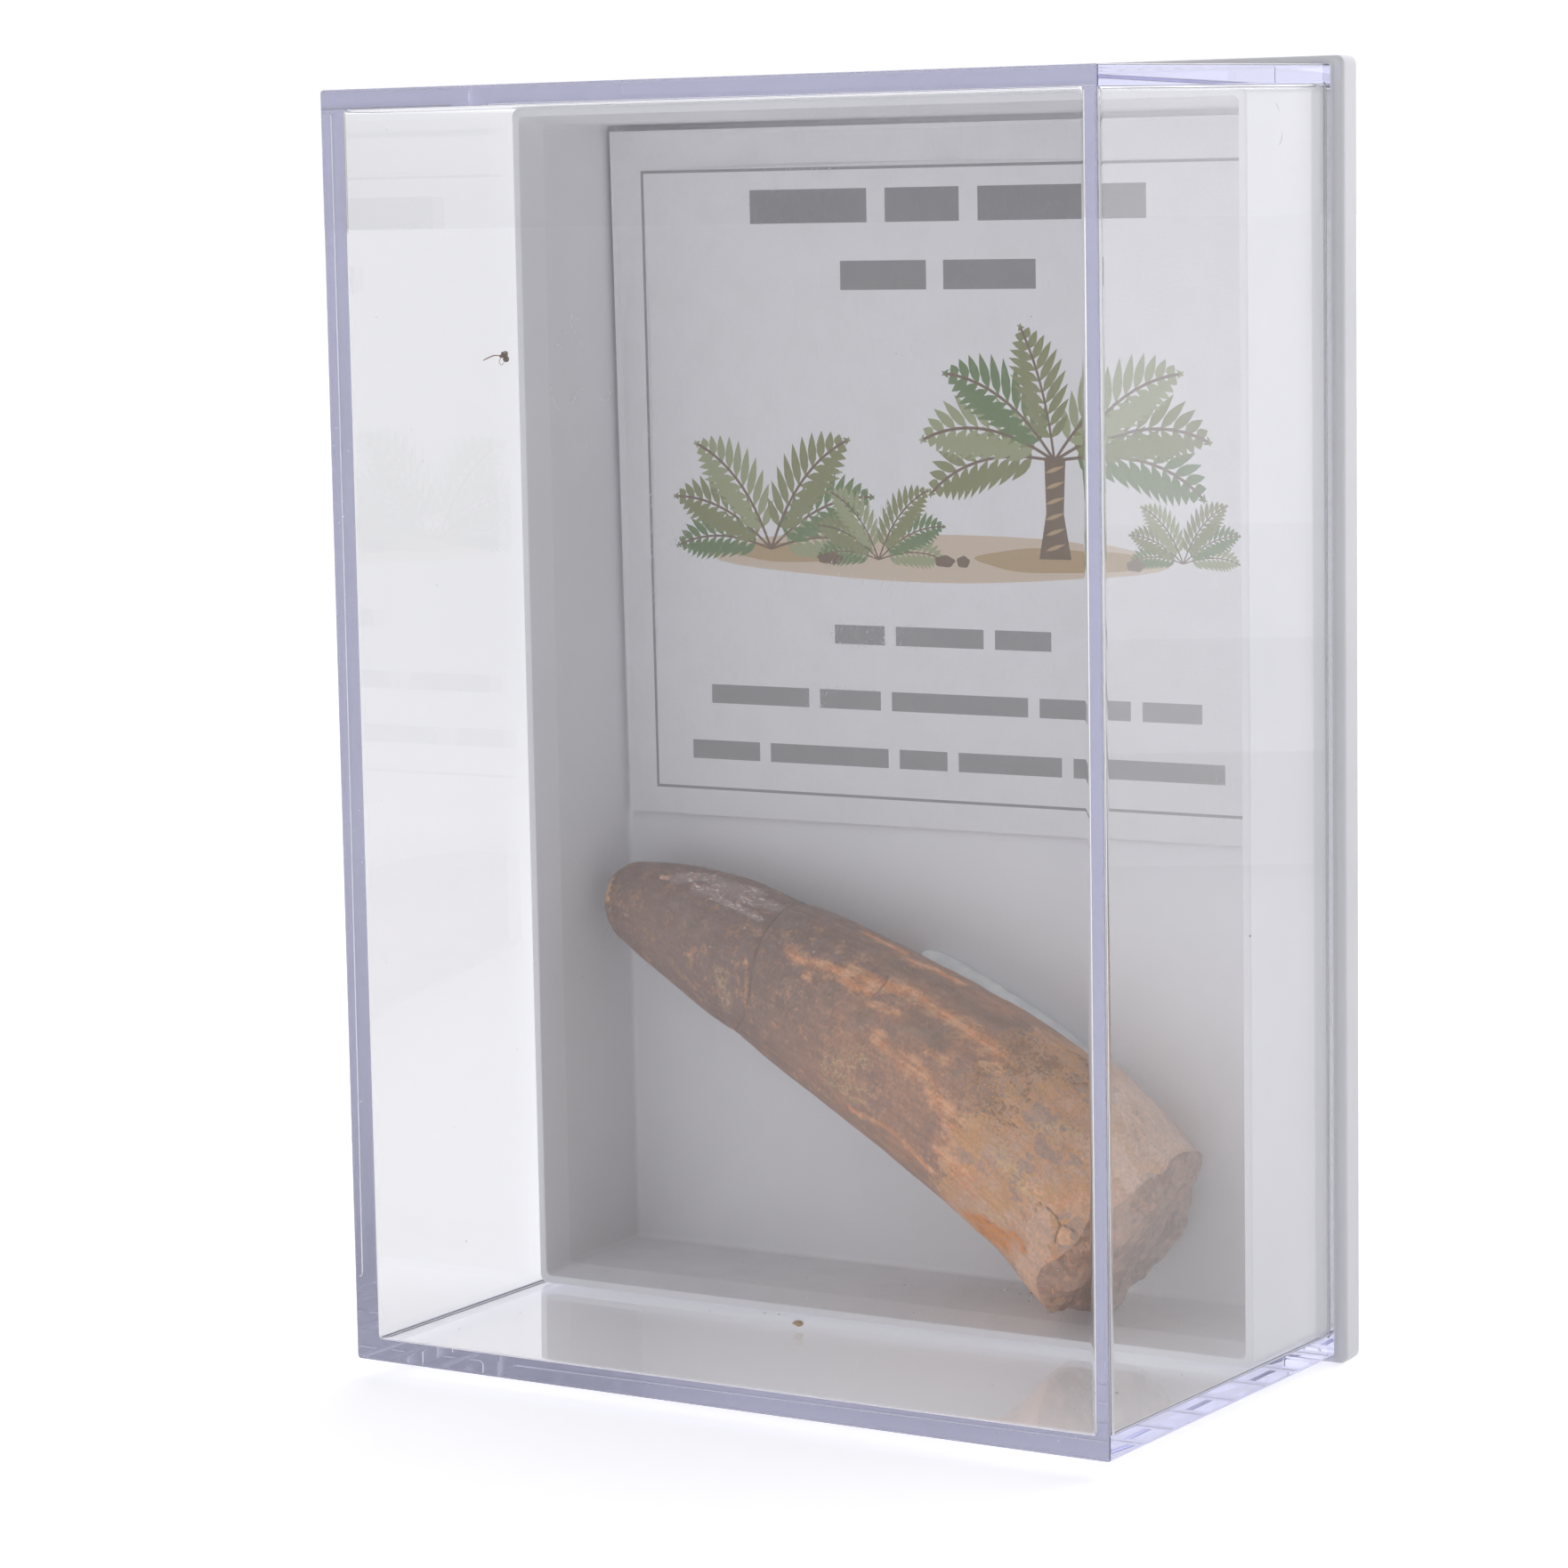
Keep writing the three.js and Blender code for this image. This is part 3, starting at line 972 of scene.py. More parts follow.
    def fracture(self) -> Socket:
        """The broken end: umber and brown lumps with paler grains and rusty ones.

        Returns:
            The fracture's mask.
        """
        canvas, hues = self.canvas, self.hues
        lumps: object = hues.broken
        for name, low, high, share, over in (
            ("patches", 0.44, 0.56, 1.0, hues.umber),
            ("clouds", 0.50, 0.60, 0.6, hues.grey),
            ("mottle", 0.53, 0.64, 0.75, hues.buff),
            ("mottle", 0.46, 0.36, 0.5, hues.slate),
            ("fine", 0.52, 0.64, 0.6, hues.russet),
        ):
            lumps = self.veil(lumps, name, low, high, share, over)
        edge = canvas.plus(self.stains["broken"], canvas.times(self.noises["wobble"], 0.3))
        edge = canvas.remap(edge, 0.36, 0.64)
        self.cover(edge, 1.0, lumps)
        return edge

    def chips(self) -> Socket:
        """Chipped enamel: a lilac scar with fine whitish dabs drawn out along the tooth.

        Returns:
            The dabs' mask.
        """
        canvas = self.canvas
        scar = canvas.plus(self.stains["chips"], canvas.times(self.noises["wobble"], 0.3))
        self.cover(canvas.remap(scar, 0.15, 0.7, 0.0, 0.42), 1.0, self.hues.lilac)
        small = canvas.specks(canvas.stretched(self.straight, (1.0, 0.50, 1.0)), 6000.0, 0.58, 0.60)
        large = canvas.specks(canvas.stretched(self.straight, (1.0, 0.42, 1.0)), 3300.0, 0.46, 0.40)
        flakes = canvas.math("MAXIMUM", canvas.times(small, 0.8), large)
        flakes = canvas.times(flakes, canvas.remap(self.noises["mottle"], 0.44, 0.58, 0.15, 1.0))
        white = canvas.times(flakes, canvas.remap(scar, 0.25, 0.65))
        self.cover(white, 0.85, self.hues.chip)
        return white

    def speckle(self) -> None:
        """Fine grain over everything: warm and dark specks, and lighter and darker tones."""
        self.colour = self.veil(self.colour, "grit", 0.54, 0.70, 0.30, self.hues.warm)
        self.colour = self.veil(self.colour, "grit", 0.46, 0.32, 0.30, self.hues.olive)
        for name, low, high in (("ridges", 0.93, 1.07), ("fine", 0.89, 1.11)):
            self.tone(self.canvas.remap(self.noises[name], 0.38, 0.62, low, high))

    def crack_lines(self) -> Socket:
        """Dark lines along the cracks, wavering a little.

        Returns:
            The lines' mask.
        """
        crack = self.canvas.plus(self.stains["cracks"], self.canvas.times(self.noises["wobble"], 0.45))
        line = self.canvas.remap(crack, 0.68, 0.96)
        self.cover(line, 0.75, self.hues.crack)
        return line


@dataclass(frozen=True)
class PalePutty:
    """Matt adhesive putty, pale and slightly blue, finger-pressed."""

    colour: Colour = (0.78, 0.79, 0.79)
    shade: Colour = (0.66, 0.70, 0.71)
    dust: Colour = (0.42, 0.36, 0.31)
    roughness: Pair = (0.6, 0.75)

    def material(self) -> bpy.types.Material:
        """Builds the material.

        Returns:
            The material.
        """
        material, canvas, shader = new_material("pale_putty")
        place = canvas.place()
        cloud = canvas.noise(place, 700.0, 4.0)
        dust = Effects.place(canvas, Effect.DUST, Scale=800.0, Amount=0.2)
        colour = canvas.mix(canvas.remap(cloud, 0.35, 0.65), self.colour, self.shade)
        grain = Effects.place(canvas, Effect.GRAIN, Scale=2500.0, Depth=1.0)
        looks = {
            "Base Color": canvas.mix(dust, colour, self.dust),
            "Roughness": canvas.remap(cloud, 0.3, 0.7, *self.roughness),
            "Normal": canvas.bump(grain, 0.6, 0.0001),
        }
        canvas.fill(shader, looks)
        return material


@dataclass(frozen=True)
class Grit:
    """Crumbs, flakes and fibres, each in the tone that its mesh carries."""

    speckle: Colour = (0.2, 0.13, 0.08)
    roughness: Pair = (0.7, 0.9)

    def material(self) -> bpy.types.Material:
        """Builds the material.

        Returns:
            The material.
        """
        material, canvas, shader = new_material("grit")
        place = canvas.place()
        tone = canvas.attribute("tone").outputs["Color"]
        speckle = canvas.remap(canvas.noise(place, 9000.0, 3.0), 0.35, 0.65, 0.0, 0.5)
        grain = Effects.place(canvas, Effect.GRAIN, Scale=9000.0, Depth=1.0)
        looks = {
            "Base Color": canvas.mix(speckle, tone, self.speckle),
            "Roughness": canvas.remap(speckle, 0.0, 0.5, *self.roughness),
            "Normal": canvas.bump(grain, 0.7, 0.00005),
        }
        canvas.fill(shader, looks)
        return material


def fit(
    piece: bpy.types.Object, material: bpy.types.Material, slot: str | None, *nodes: str
) -> bpy.types.Object:
    """Gives a finished piece its material and its body, and hides the solids that it stands for.

    Args:
        piece: The object.
        material: Its material.
        slot: Not used.
        *nodes: The solids' names.

    Returns:
        The piece.
    """
    piece.data.materials.append(material)
    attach(piece, "root")
    if nodes:
        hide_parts(*nodes)
    log.info("%s: %d faces", piece.name, len(piece.data.polygons))
    return piece


# The box


@dataclass(frozen=True)
class Tray:
    """White tray: a plate whose upstand wall has a bevelled lip."""

    plate: Pair = (26.7, 39.0)
    back_y: float = 15.5
    floor_y: float = 13.5
    rim_y: float = 3.4
    wall_root: Pair = (24.7, 37.25)
    wall_rim: Pair = (24.55, 37.1)
    wall_inside: Pair = (23.55, 36.1)
    lip_width: float = 0.5
    lip_depth: float = 2.0
    rear_inset: float = 1.2
    floor_inset: float = 1.0
    middle_z: float = 39.0

    def build(self) -> bpy.types.Object:
        """Carries the tray's section round from the rear face to the floor.

        Returns:
            The finished tray.
        """
        rim, rear, floor = self.wall_rim, self.rear_inset, self.floor_inset
        corners = (
            Corner(self.back_y, self.plate[0] - rear, self.plate[1] - rear, 0.0, 0.3),
            Corner(self.back_y, *self.plate, 0.12, 0.5),
            Corner(self.floor_y, *self.plate, 0.3, 0.5),
            Corner(self.floor_y, *self.wall_root, 0.15, 0.5),
            Corner(self.rim_y, *rim, 0.12, 0.5),
            Corner(self.rim_y, rim[0] - self.lip_width, rim[1] - self.lip_width, 0.08, 0.35),
            Corner(self.rim_y + self.lip_depth, *self.wall_inside, 0.3, 0.3),
            Corner(self.floor_y, *self.wall_inside, 0.3, 0.3),
            Corner(self.floor_y, self.wall_inside[0] - floor, self.wall_inside[1] - floor, 0.0, 0.3),
        )
        piece = Moulding(corners, self.middle_z).shell().to_object("tray", 35.0)
        return fit(piece, WhiteMoulding().material(), "white_plastic", "base_tray")


@dataclass(frozen=True)
class Lid:
    """Clear five-walled lid, slightly smaller at its front panel than at its rim."""

    front: Pair = (25.55, 38.05)
    rim: Pair = (26.0, 38.5)
    front_y: float = -15.5
    rim_y: float = 13.4
    wall: float = 1.15
    outer_inset: float = 1.2
    inner_inset: float = 1.0
    middle_z: float = 39.0

    def build(self) -> bpy.types.Object:
        """Carries the lid's section round from the front panel's outside to its inside.

        Returns:
            The finished lid.
        """
        (wide, high), (rim_wide, rim_high), wall = self.front, self.rim, self.wall
        outer, inner = self.outer_inset, self.inner_inset
        corners = (
            Corner(self.front_y, wide - outer, high - outer, 0.0, 0.3),
            Corner(self.front_y, wide, high, 0.14, 0.18),
            Corner(self.rim_y, rim_wide, rim_high, 0.1, 0.18),
            Corner(self.rim_y, rim_wide - wall, rim_high - wall, 0.1, 0.25),
            Corner(self.front_y + wall, wide - wall, high - wall, 0.2, 0.25),
            Corner(self.front_y + wall, wide - wall - inner, high - wall - inner, 0.0, 0.3),
        )
        piece = Moulding(corners, self.middle_z).shell().to_object("lid", 35.0)
        return fit(piece, ClearStyrene().material(), "clear_plastic", "clear_lid")


class Ink(Enum):
    """The card's inks, as linear colours."""

    PAPER = (0.74, 0.74, 0.755)
    BLACK = (0.225, 0.222, 0.230)
    GREY = (0.270, 0.267, 0.275)
    LEAF = (0.115, 0.190, 0.060)
    OLIVE = (0.210, 0.225, 0.085)
    MOSS = (0.300, 0.330, 0.170)
    BARK = (0.150, 0.090, 0.050)
    OCHRE = (0.430, 0.300, 0.150)
    SAND = (0.600, 0.490, 0.380)


@dataclass
class Print:
    """The card's flat shapes in drawing order, each a closed outline with an ink."""

    outlines: list[Array] = field(default_factory=list)
    inks: list[Ink] = field(default_factory=list)

    def shape(self, ink: Ink, outline: Array) -> None:
        """Draws a closed outline, (x, z) to a row, over what is there."""
        self.outlines.append(np.asarray(outline, float))
        self.inks.append(ink)

    def block(self, ink: Ink, left: float, low: float, right: float, high: float) -> None:
        """Draws an upright rectangle."""
        self.shape(ink, np.array([[left, low], [right, low], [right, high], [left, high]]))

    def ellipse(self, ink: Ink, centre: Pair, wide: float, high: float, waves: float = 0.0) -> None:
        """Draws an ellipse whose edge may waver: radius times (1 + waves sin(5a + wide)).

        Args:
            ink: The ink.
            centre: Its middle.
            wide: Half its width.
            high: Half its height.
            waves: Height of the wavering.
        """
        a = np.linspace(0, 2 * np.pi, 37)[:-1]
        grow = 1 + waves * np.sin(5 * a + wide)
        ring = np.column_stack([wide * np.cos(a) * grow, high * np.sin(a) * grow])
        self.shape(ink, ring + np.array(centre))

    def leaf(self, ink: Ink, base: Array, tip: Array, width: float) -> None:
        """Draws a pointed leaf: half width times sin(pi t^0.8) along the line from base to tip.

        Args:
            ink: The ink.
            base: Where the leaf springs from.
            tip: Its point.
            width: Its greatest half width.
        """
        t = np.linspace(0, 1, 5)[:, None]
        run = tip - base
        side = unit(np.array([-run[1], run[0]]))
        spine = base + run * t
        bulge = side * width * np.sin(np.pi * t**0.8)
        self.shape(ink, np.vstack([spine - bulge, (spine + bulge)[-2:0:-1]]))

    def frond(self, ink: Ink, base: Pair, degrees: float, length: float, droop: float) -> None:
        """Draws an arching frond: paired leaves along a midrib that bends down as it goes.

        Args:
            ink: The leaves' ink.
            base: Where the frond springs from.
            degrees: Its first direction, from the right, upwards.
            length: Its length.
            droop: How far it has turned down at its tip, in degrees.
        """
        joints, leaf_turn, leaf_share, leaf_width, rib_width = 13, 0.85, 0.30, 0.035, 0.010
        t = np.linspace(0, 1, joints)
        lean = np.sign(np.cos(np.radians(degrees))) or 1.0
        heading = np.radians(degrees - lean * droop * t**1.4)
        step = np.column_stack([np.cos(heading), np.sin(heading)]) * length / (joints - 1)
        spine = np.array(base) + np.vstack([[0, 0], np.cumsum(step[:-1], axis=0)])
        for k in range(2, joints):
            reach = length * leaf_share * np.sin(np.pi * (0.12 + 0.86 * t[k]))
            for turn in (leaf_turn, -leaf_turn):
                way = heading[k] + turn
                tip = spine[k] + reach * np.array([np.cos(way), np.sin(way)])
                self.leaf(ink, spine[k], tip, leaf_width * length)
        normal = np.column_stack([-np.sin(heading), np.cos(heading)]) * (rib_width * length)
        self.shape(Ink.BARK, np.vstack([spine - normal, (spine + normal)[::-1]]))

    def words(self, ink: Ink, low: float, high: float, lengths: Sequence[float], gap: float) -> None:
        """Draws a line of print as plain bars, centred on the card.

        Args:
            ink: The ink.
            low: Lower edge of the bars.
            high: Upper edge of the bars.
            lengths: Length of each bar.
            gap: Space between bars.
        """
        left = -(sum(lengths) + gap * (len(lengths) - 1)) / 2
        for length in lengths:
            self.block(ink, left, low, left + length, high)
            left += length + gap


@dataclass(frozen=True)
class LabelCard:
    """Printed card on the tray's floor, its top left corner lifted.

    The print is a generic one: a rule round the edge, plain bars for the lines of words, and
    a stand of cycads and ferns on sandy ground.
    """

    half_width: float = 23.2
    low: float = 31.2
    high: float = 74.7
    front_y: float = 13.1
    back_y: float = 13.4
    corner_lift: float = 0.75
    lift_reach: float = 14.0
    rule: float = 0.09
    rule_half_width: float = 21.3
    rule_left: float = -21.02
    rule_low: float = 32.95
    rule_high: float = 72.1
    net_x: Pair = (-22.9, 22.9)
    net_z: Pair = (31.5, 74.4)

    def print(self) -> Print:
        """Draws everything on the card.

        Returns:
            The card's shapes.
        """
        made = Print()
        made.block(Ink.PAPER, -self.half_width, self.low, self.half_width, self.high)
        wide, rule = self.rule_half_width, self.rule
        left = self.rule_left
        made.block(Ink.GREY, left - rule, self.rule_low - rule, wide + rule, self.rule_high + rule)
        made.block(Ink.PAPER, left + rule, self.rule_low + rule, wide - rule, self.rule_high - rule)
        made.words(Ink.BLACK, 68.75, 70.85, (8.4, 5.2, 10.4), 1.3)
        made.words(Ink.BLACK, 64.6, 66.4, (6.1, 6.4), 1.2)
        made.words(Ink.GREY, 42.55, 43.75, (3.6, 6.2, 3.9), 0.8)
        made.words(Ink.GREY, 38.45, 39.65, (7.2, 4.4, 9.6, 5.2, 4.0), 0.8)
        made.words(Ink.GREY, 34.85, 36.05, (5.0, 8.6, 3.4, 7.2, 9.2), 0.8)
        self.draw_plants(made)
        return made

    def draw_plants(self, made: Print) -> None:
        """Draws the ground, a trunked cycad on the right and ferns on the left.

        Args:
            made: The card's shapes, which grow.
        """
        made.ellipse(Ink.SAND, (-1.0, 48.1), 15.5, 1.5, 0.03)
        made.ellipse(Ink.OCHRE, (7.8, 48.1), 5.2, 0.75, 0.05)
        made.ellipse(Ink.OCHRE, (-10.5, 48.2), 4.6, 0.6, 0.05)
        trunk = np.array([[6.9, 48.2], [9.1, 48.2], [8.6, 51.0], [8.75, 54.4], [7.3, 54.4], [7.4, 51.0]])
        made.shape(Ink.BARK, trunk)
        for k in range(6):
            z = 48.7 + 0.95 * k
            made.leaf(Ink.OCHRE, np.array([7.35, z]), np.array([8.7, z + 0.45]), 0.13)
        crown = (
            (172, 9.2, 58), (8, 9.6, 58), (150, 9.6, 60), (30, 9.8, 60),
            (126, 9.4, 50), (54, 9.4, 50), (98, 8.4, 20),
        )
        for k, (degrees, length, droop) in enumerate(crown):
            made.frond((Ink.OLIVE, Ink.LEAF, Ink.MOSS)[k % 3], (8.0, 54.2), degrees, length, droop)
        clumps = (((-12.2, 48.4), 8.2), ((-4.4, 47.9), 5.2), ((15.6, 48.1), 4.2))
        for base, length in clumps:
            for k, degrees in enumerate((162, 18, 138, 42, 112, 68)):
                ink = (Ink.LEAF, Ink.MOSS, Ink.OLIVE)[k % 3]
                made.frond(ink, base, degrees, length * (0.86 + 0.05 * k), 46)
        for x, wide in ((-7.9, 0.9), (0.3, 0.7), (1.6, 0.45), (12.4, 0.6)):
            made.ellipse(Ink.BARK, (x, 47.9), wide, 0.36, 0.08)

    def front(self, x: Array, z: Array) -> Array:
        """The card's front face: flat, save that y falls by the lift times across^2 down.

        Args:
            x: Places along X.
            z: Places along Z.

        Returns:
            The front's y.
        """
        across = np.clip(1 - (x + self.half_width) / self.lift_reach, 0, 1)
        down = np.clip(1 - (self.high - z) / self.lift_reach, 0, 1)
        return self.front_y - self.corner_lift * across**2 * down

    def build(self) -> bpy.types.Object:
        """Triangulates the print's outlines and gives the sheet its thickness.

        Returns:
            The finished card.
        """
        made = self.print()
        net_x, net_z = np.meshgrid(np.linspace(*self.net_x, 24), np.linspace(*self.net_z, 23))
        loose = np.column_stack([net_x.ravel(), net_z.ravel()])
        sizes = [len(outline) for outline in made.outlines]
        starts = np.cumsum([0, *sizes[:-1]])
        rounds = [list(range(start, start + size)) for start, size in zip(starts, sizes)]
        flat = np.vstack([*made.outlines, loose])
        places, _, triangles, _, _, sources = delaunay_2d_cdt([Vector(p) for p in flat], [], rounds, 1, 1e-5)
        places = np.array([tuple(p) for p in places])
        triangles = np.array(triangles, int)
        inks = np.array([made.inks[max(source)].value for source in sources])
        front_y = self.front(places[:, 0], places[:, 1])
        thick = self.back_y - self.front_y
        shell = Shell()
        ahead = shell.add_points(np.column_stack([places[:, 0], front_y, places[:, 1]]))
        behind = shell.add_points(np.column_stack([places[:, 0], front_y + thick, places[:, 1]]))
        sides = np.vstack([triangles[:, [0, 1]], triangles[:, [1, 2]], triangles[:, [2, 0]]])
        keys = sides[:, 0] * len(places) + sides[:, 1]
        back_keys = sides[:, 1] * len(places) + sides[:, 0]
        rim = sides[~np.isin(keys, back_keys)]
        shell.faces.extend(ahead[triangles].tolist())
        shell.faces.extend(behind[triangles[:, ::-1]].tolist())
        edge = np.stack([ahead[rim[:, 1]], ahead[rim[:, 0]], behind[rim[:, 0]], behind[rim[:, 1]]], axis=-1)
        shell.faces.extend(edge.tolist())
        piece = shell.to_object("card", 40.0)
        paper = np.array(Ink.PAPER.value)
        colours = np.vstack([inks, np.tile(paper, (len(inks) + len(rim), 1))])
        totals = np.empty(len(piece.data.polygons), np.int32)
        piece.data.polygons.foreach_get("loop_total", totals)
        rgba = np.column_stack([np.repeat(colours, totals, axis=0), np.ones(totals.sum())])
        layer = piece.data.attributes.new("ink", "FLOAT_COLOR", "CORNER")
        layer.data.foreach_set("color", rgba.ravel())
        return fit(piece, PrintedCard().material(), "printed_card", "label_card")


# The tooth

TurnPath = tuple[Pair, ...]


@dataclass(frozen=True)
class Stain:
    """A stain or crack drawn along a path of (distance from the tip, degrees round)."""

    path: TurnPath
    reach: float
    strength: float = 1.0


@dataclass(frozen=True)
class ToothAxis:
    """The tooth's centre line and the frame that straight coordinates are carried into."""

    knots: tuple[Place, ...] = (
        (-22.45, 10.1, 25.92),
        (-20.8, 9.85, 25.85),
        (-17.1, 9.3, 25.0),
        (-13.7, 8.85, 23.95),
        (-10.4, 8.45, 22.7),
        (-5.7, 8.0, 20.85),
        (-1.15, 7.6, 18.85),
        (3.2, 7.3, 16.8),
        (7.35, 7.05, 14.6),
        (11.0, 6.95, 12.0),
        (17.2, 6.85, 6.6),
    )

    def bend(self, straight: Array) -> Array:
        """Carries points given as (up, along, back) onto the centre line.

        The point is the centre at that distance, plus up and back times two unit vectors:
        back is +Y made square to the line, and up is the line's direction crossed with it.

        Args:
            straight: The points.

        Returns:
            Their places in the part's frame.
        """
        line = smooth_line(np.array(self.knots), 0.5, 60)
        gone = distances(line)
        centre = read_curve(straight[..., 1], gone, line)
        forward = unit(read_curve(straight[..., 1], gone, np.gradient(line, gone, axis=0)))
        back = unit(np.array([0.0, 1.0, 0.0]) - forward * forward[..., 1:2])
        up = np.cross(forward, back)
        return centre + up * straight[..., 0:1] + back * straight[..., 2:3]


@dataclass(frozen=True)
class Tooth:
    """Slightly curved conical tooth, worn at its tip and broken at its base."""

    axis: ToothAxis = ToothAxis()
    outline: tuple[Pair, ...] = (
        (0.47, 0.95), (0.53, 1.5), (0.76, 2.0), (1.2, 2.38), (1.8, 2.64), (3.55, 3.1), (5.45, 3.55),
        (7.25, 3.88), (9.05, 4.2), (10.85, 4.4), (12.65, 4.54), (14.45, 4.74), (16.25, 5.0), (17.95, 5.18),
        (21.15, 5.42), (24.45, 5.68), (27.65, 5.92), (30.75, 6.14), (33.85, 6.22), (38.2, 6.22), (42.3, 6.1),
    )
    broken_end: tuple[Pair, ...] = (
        (42.8, 5.75), (43.05, 5.0), (42.95, 4.0), (42.75, 3.0), (42.85, 2.0), (43.0, 1.0), (43.0, 0.2),
    )
    break_centre: float = 43.0
    break_start: float = 35.5
    break_radius: float = 5.75
    break_waves: tuple[tuple[int, float, float], ...] = (
        (1, 3.3, 0.85), (2, 2.97, 0.42), (5, 2.1, 0.22), (9, 0.9, 0.12),
    )
    ring_crack: TurnPath = (
        (13.4, 70), (13.6, 106), (13.9, 124), (14.1, 140), (14.5, 156), (14.9, 170), (15.3, 184),
        (15.1, 204), (14.1, 228), (13.7, 260), (13.9, 300), (13.3, 345), (13.6, 390), (13.4, 430),
    )
    marks: tuple[tuple[float, ...], ...] = (
        (7.7, 128, 3.2, 30, -0.16), (4.0, 165, 2.0, 34, -0.12), (15.1, 96, 1.2, 24, 0.14),
        (28.0, 118, 3.0, 20, -0.14), (31.0, 150, 3.4, 26, 0.12), (36.0, 110, 2.6, 30, 0.16),
        (37.0, 215, 2.6, 26, -0.18), (39.8, 190, 1.3, 14, 0.28), (38.5, 262, 2.0, 22, -0.2),
        (23.5, 205, 3.0, 24, 0.1), (32.5, 300, 3.6, 34, -0.12), (19.5, 20, 4.0, 40, -0.08),
        (41.3, 228, 2.0, 26, 0.26), (21.9, 88, 0.4, 14, -0.12), (24.6, 88, 0.5, 12, -0.10),
        (11.5, 222, 1.3, 18, 0.12),
    )
    orange: tuple[Stain, ...] = (
        Stain(((16.3, 140), (17.2, 142), (18.2, 140), (19.3, 138), (20.1, 136)), 0.75, 0.9),
        Stain(((20.5, 132), (21.6, 131), (22.4, 130)), 0.85),
        Stain(((20.6, 137), (21.5, 139), (22.4, 138)), 0.9, 0.95),
        Stain(((23.1, 127), (24.2, 124), (25.1, 123), (26.7, 124), (27.8, 124), (28.8, 124)), 0.8),
        Stain(((28.8, 124), (30.0, 126), (31.3, 127)), 1.1),
        Stain(((23.0, 144), (23.8, 142), (24.9, 140)), 0.5, 0.85),
        Stain(((18.8, 90), (19.9, 92), (21.1, 90), (21.7, 88)), 0.65, 0.95),
        Stain(((22.4, 96), (23.2, 96), (24.2, 90), (25.1, 90), (25.9, 90)), 0.75, 0.95),
        Stain(((24.6, 158), (25.1, 160), (26.1, 162), (27.1, 162)), 0.75, 0.8),
        Stain(((27.1, 162), (28.8, 162), (29.4, 164), (30.3, 168)), 1.0, 0.85),
        Stain(((30.3, 168), (31.1, 170), (32.0, 176)), 1.0, 0.9),
        Stain(((24.7, 212), (25.7, 210), (27.3, 206), (28.6, 206), (30.0, 208), (31.7, 210)), 0.38, 0.95),
        Stain(((28.0, 150), (29.6, 147)), 0.6, 0.65),
        Stain(((32.0, 190), (33.2, 196), (34.6, 196)), 1.4, 0.8),
        Stain(((13.9, 160), (14.5, 170), (14.9, 180), (15.1, 194)), 0.35, 0.55),
        Stain(((18.3, 149), (18.7, 150)), 0.45, 0.9),
        Stain(((39.6, 166), (40.4, 152)), 1.0, 0.7),
        Stain(((41.8, 190), (41.6, 205), (42.2, 214), (42.4, 226)), 0.8, 0.95),
        Stain(((29.5, 255), (33.5, 262), (36.0, 268)), 0.9, 0.8),
        Stain(((18.0, 40), (22.5, 30), (27.5, 36)), 0.8, 0.9),
        Stain(((20.5, 330), (25.0, 322), (29.5, 318)), 0.7, 0.9),
    )
    rust: tuple[Stain, ...] = (
        Stain(((35.2, 226), (36.1, 218), (36.9, 214), (37.7, 212), (38.3, 207)), 0.8),
        Stain(((36.4, 228), (37.3, 224), (38.2, 217)), 1.3),
        Stain(((38.4, 203), (39.1, 200), (39.5, 203)), 0.55, 0.9),
        Stain(((42.4, 216), (42.5, 232)), 0.6, 0.75),
        Stain(((38.0, 300), (39.8, 318)), 1.1, 0.9),
    )
    yellow: tuple[Stain, ...] = (
        Stain(((34.8, 168), (35.7, 172), (36.9, 172), (37.5, 175)), 0.8),
        Stain(((35.7, 211), (36.7, 205), (37.6, 201)), 0.6),
        Stain(((35.5, 148), (36.5, 138), (37.6, 130)), 0.5, 0.8),
    )
    slate: tuple[Stain, ...] = (
        Stain(((22.0, 108), (24.4, 103), (27.0, 106), (30.0, 108)), 1.3, 0.9),
        Stain(((26.0, 136), (27.6, 140), (28.6, 143), (28.6, 148)), 1.0),
        Stain(((18.0, 108), (20.5, 106)), 1.1, 0.7),
        Stain(((5.5, 200), (7.4, 203), (9.1, 206)), 1.6, 0.75),
        Stain(((13.7, 134), (14.1, 148), (14.7, 160), (15.1, 172), (15.3, 190), (14.9, 218)), 0.75, 0.9),
        Stain(((18.7, 160), (19.3, 160)), 0.5, 1.1),
        Stain(((12.0, 220), (12.8, 224)), 0.6, 0.9),
        Stain(((14.7, 170), (15.0, 180)), 0.5, 1.0),
        Stain(((27.0, 232), (31.0, 236)), 1.0, 0.7),
        Stain(((8.0, 320), (16.0, 300), (24.0, 290)), 2.0, 0.6),
    )
    chips: tuple[Stain, ...] = (
        Stain(((5.9, 120), (6.8, 108), (7.6, 104), (8.9, 107), (9.9, 104), (10.8, 101)), 1.3),
        Stain(((8.0, 124), (9.0, 119), (10.2, 114), (11.6, 111), (12.9, 108)), 1.3, 0.9),
        Stain(((9.2, 128), (11.2, 127), (12.9, 127)), 0.6, 0.9),
        Stain(((4.8, 125), (5.1, 124)), 0.4, 0.8),
        Stain(((3.4, 182), (3.6, 182)), 0.28, 1.2),
        Stain(((10.0, 260), (12.5, 268)), 0.8, 0.7),
    )
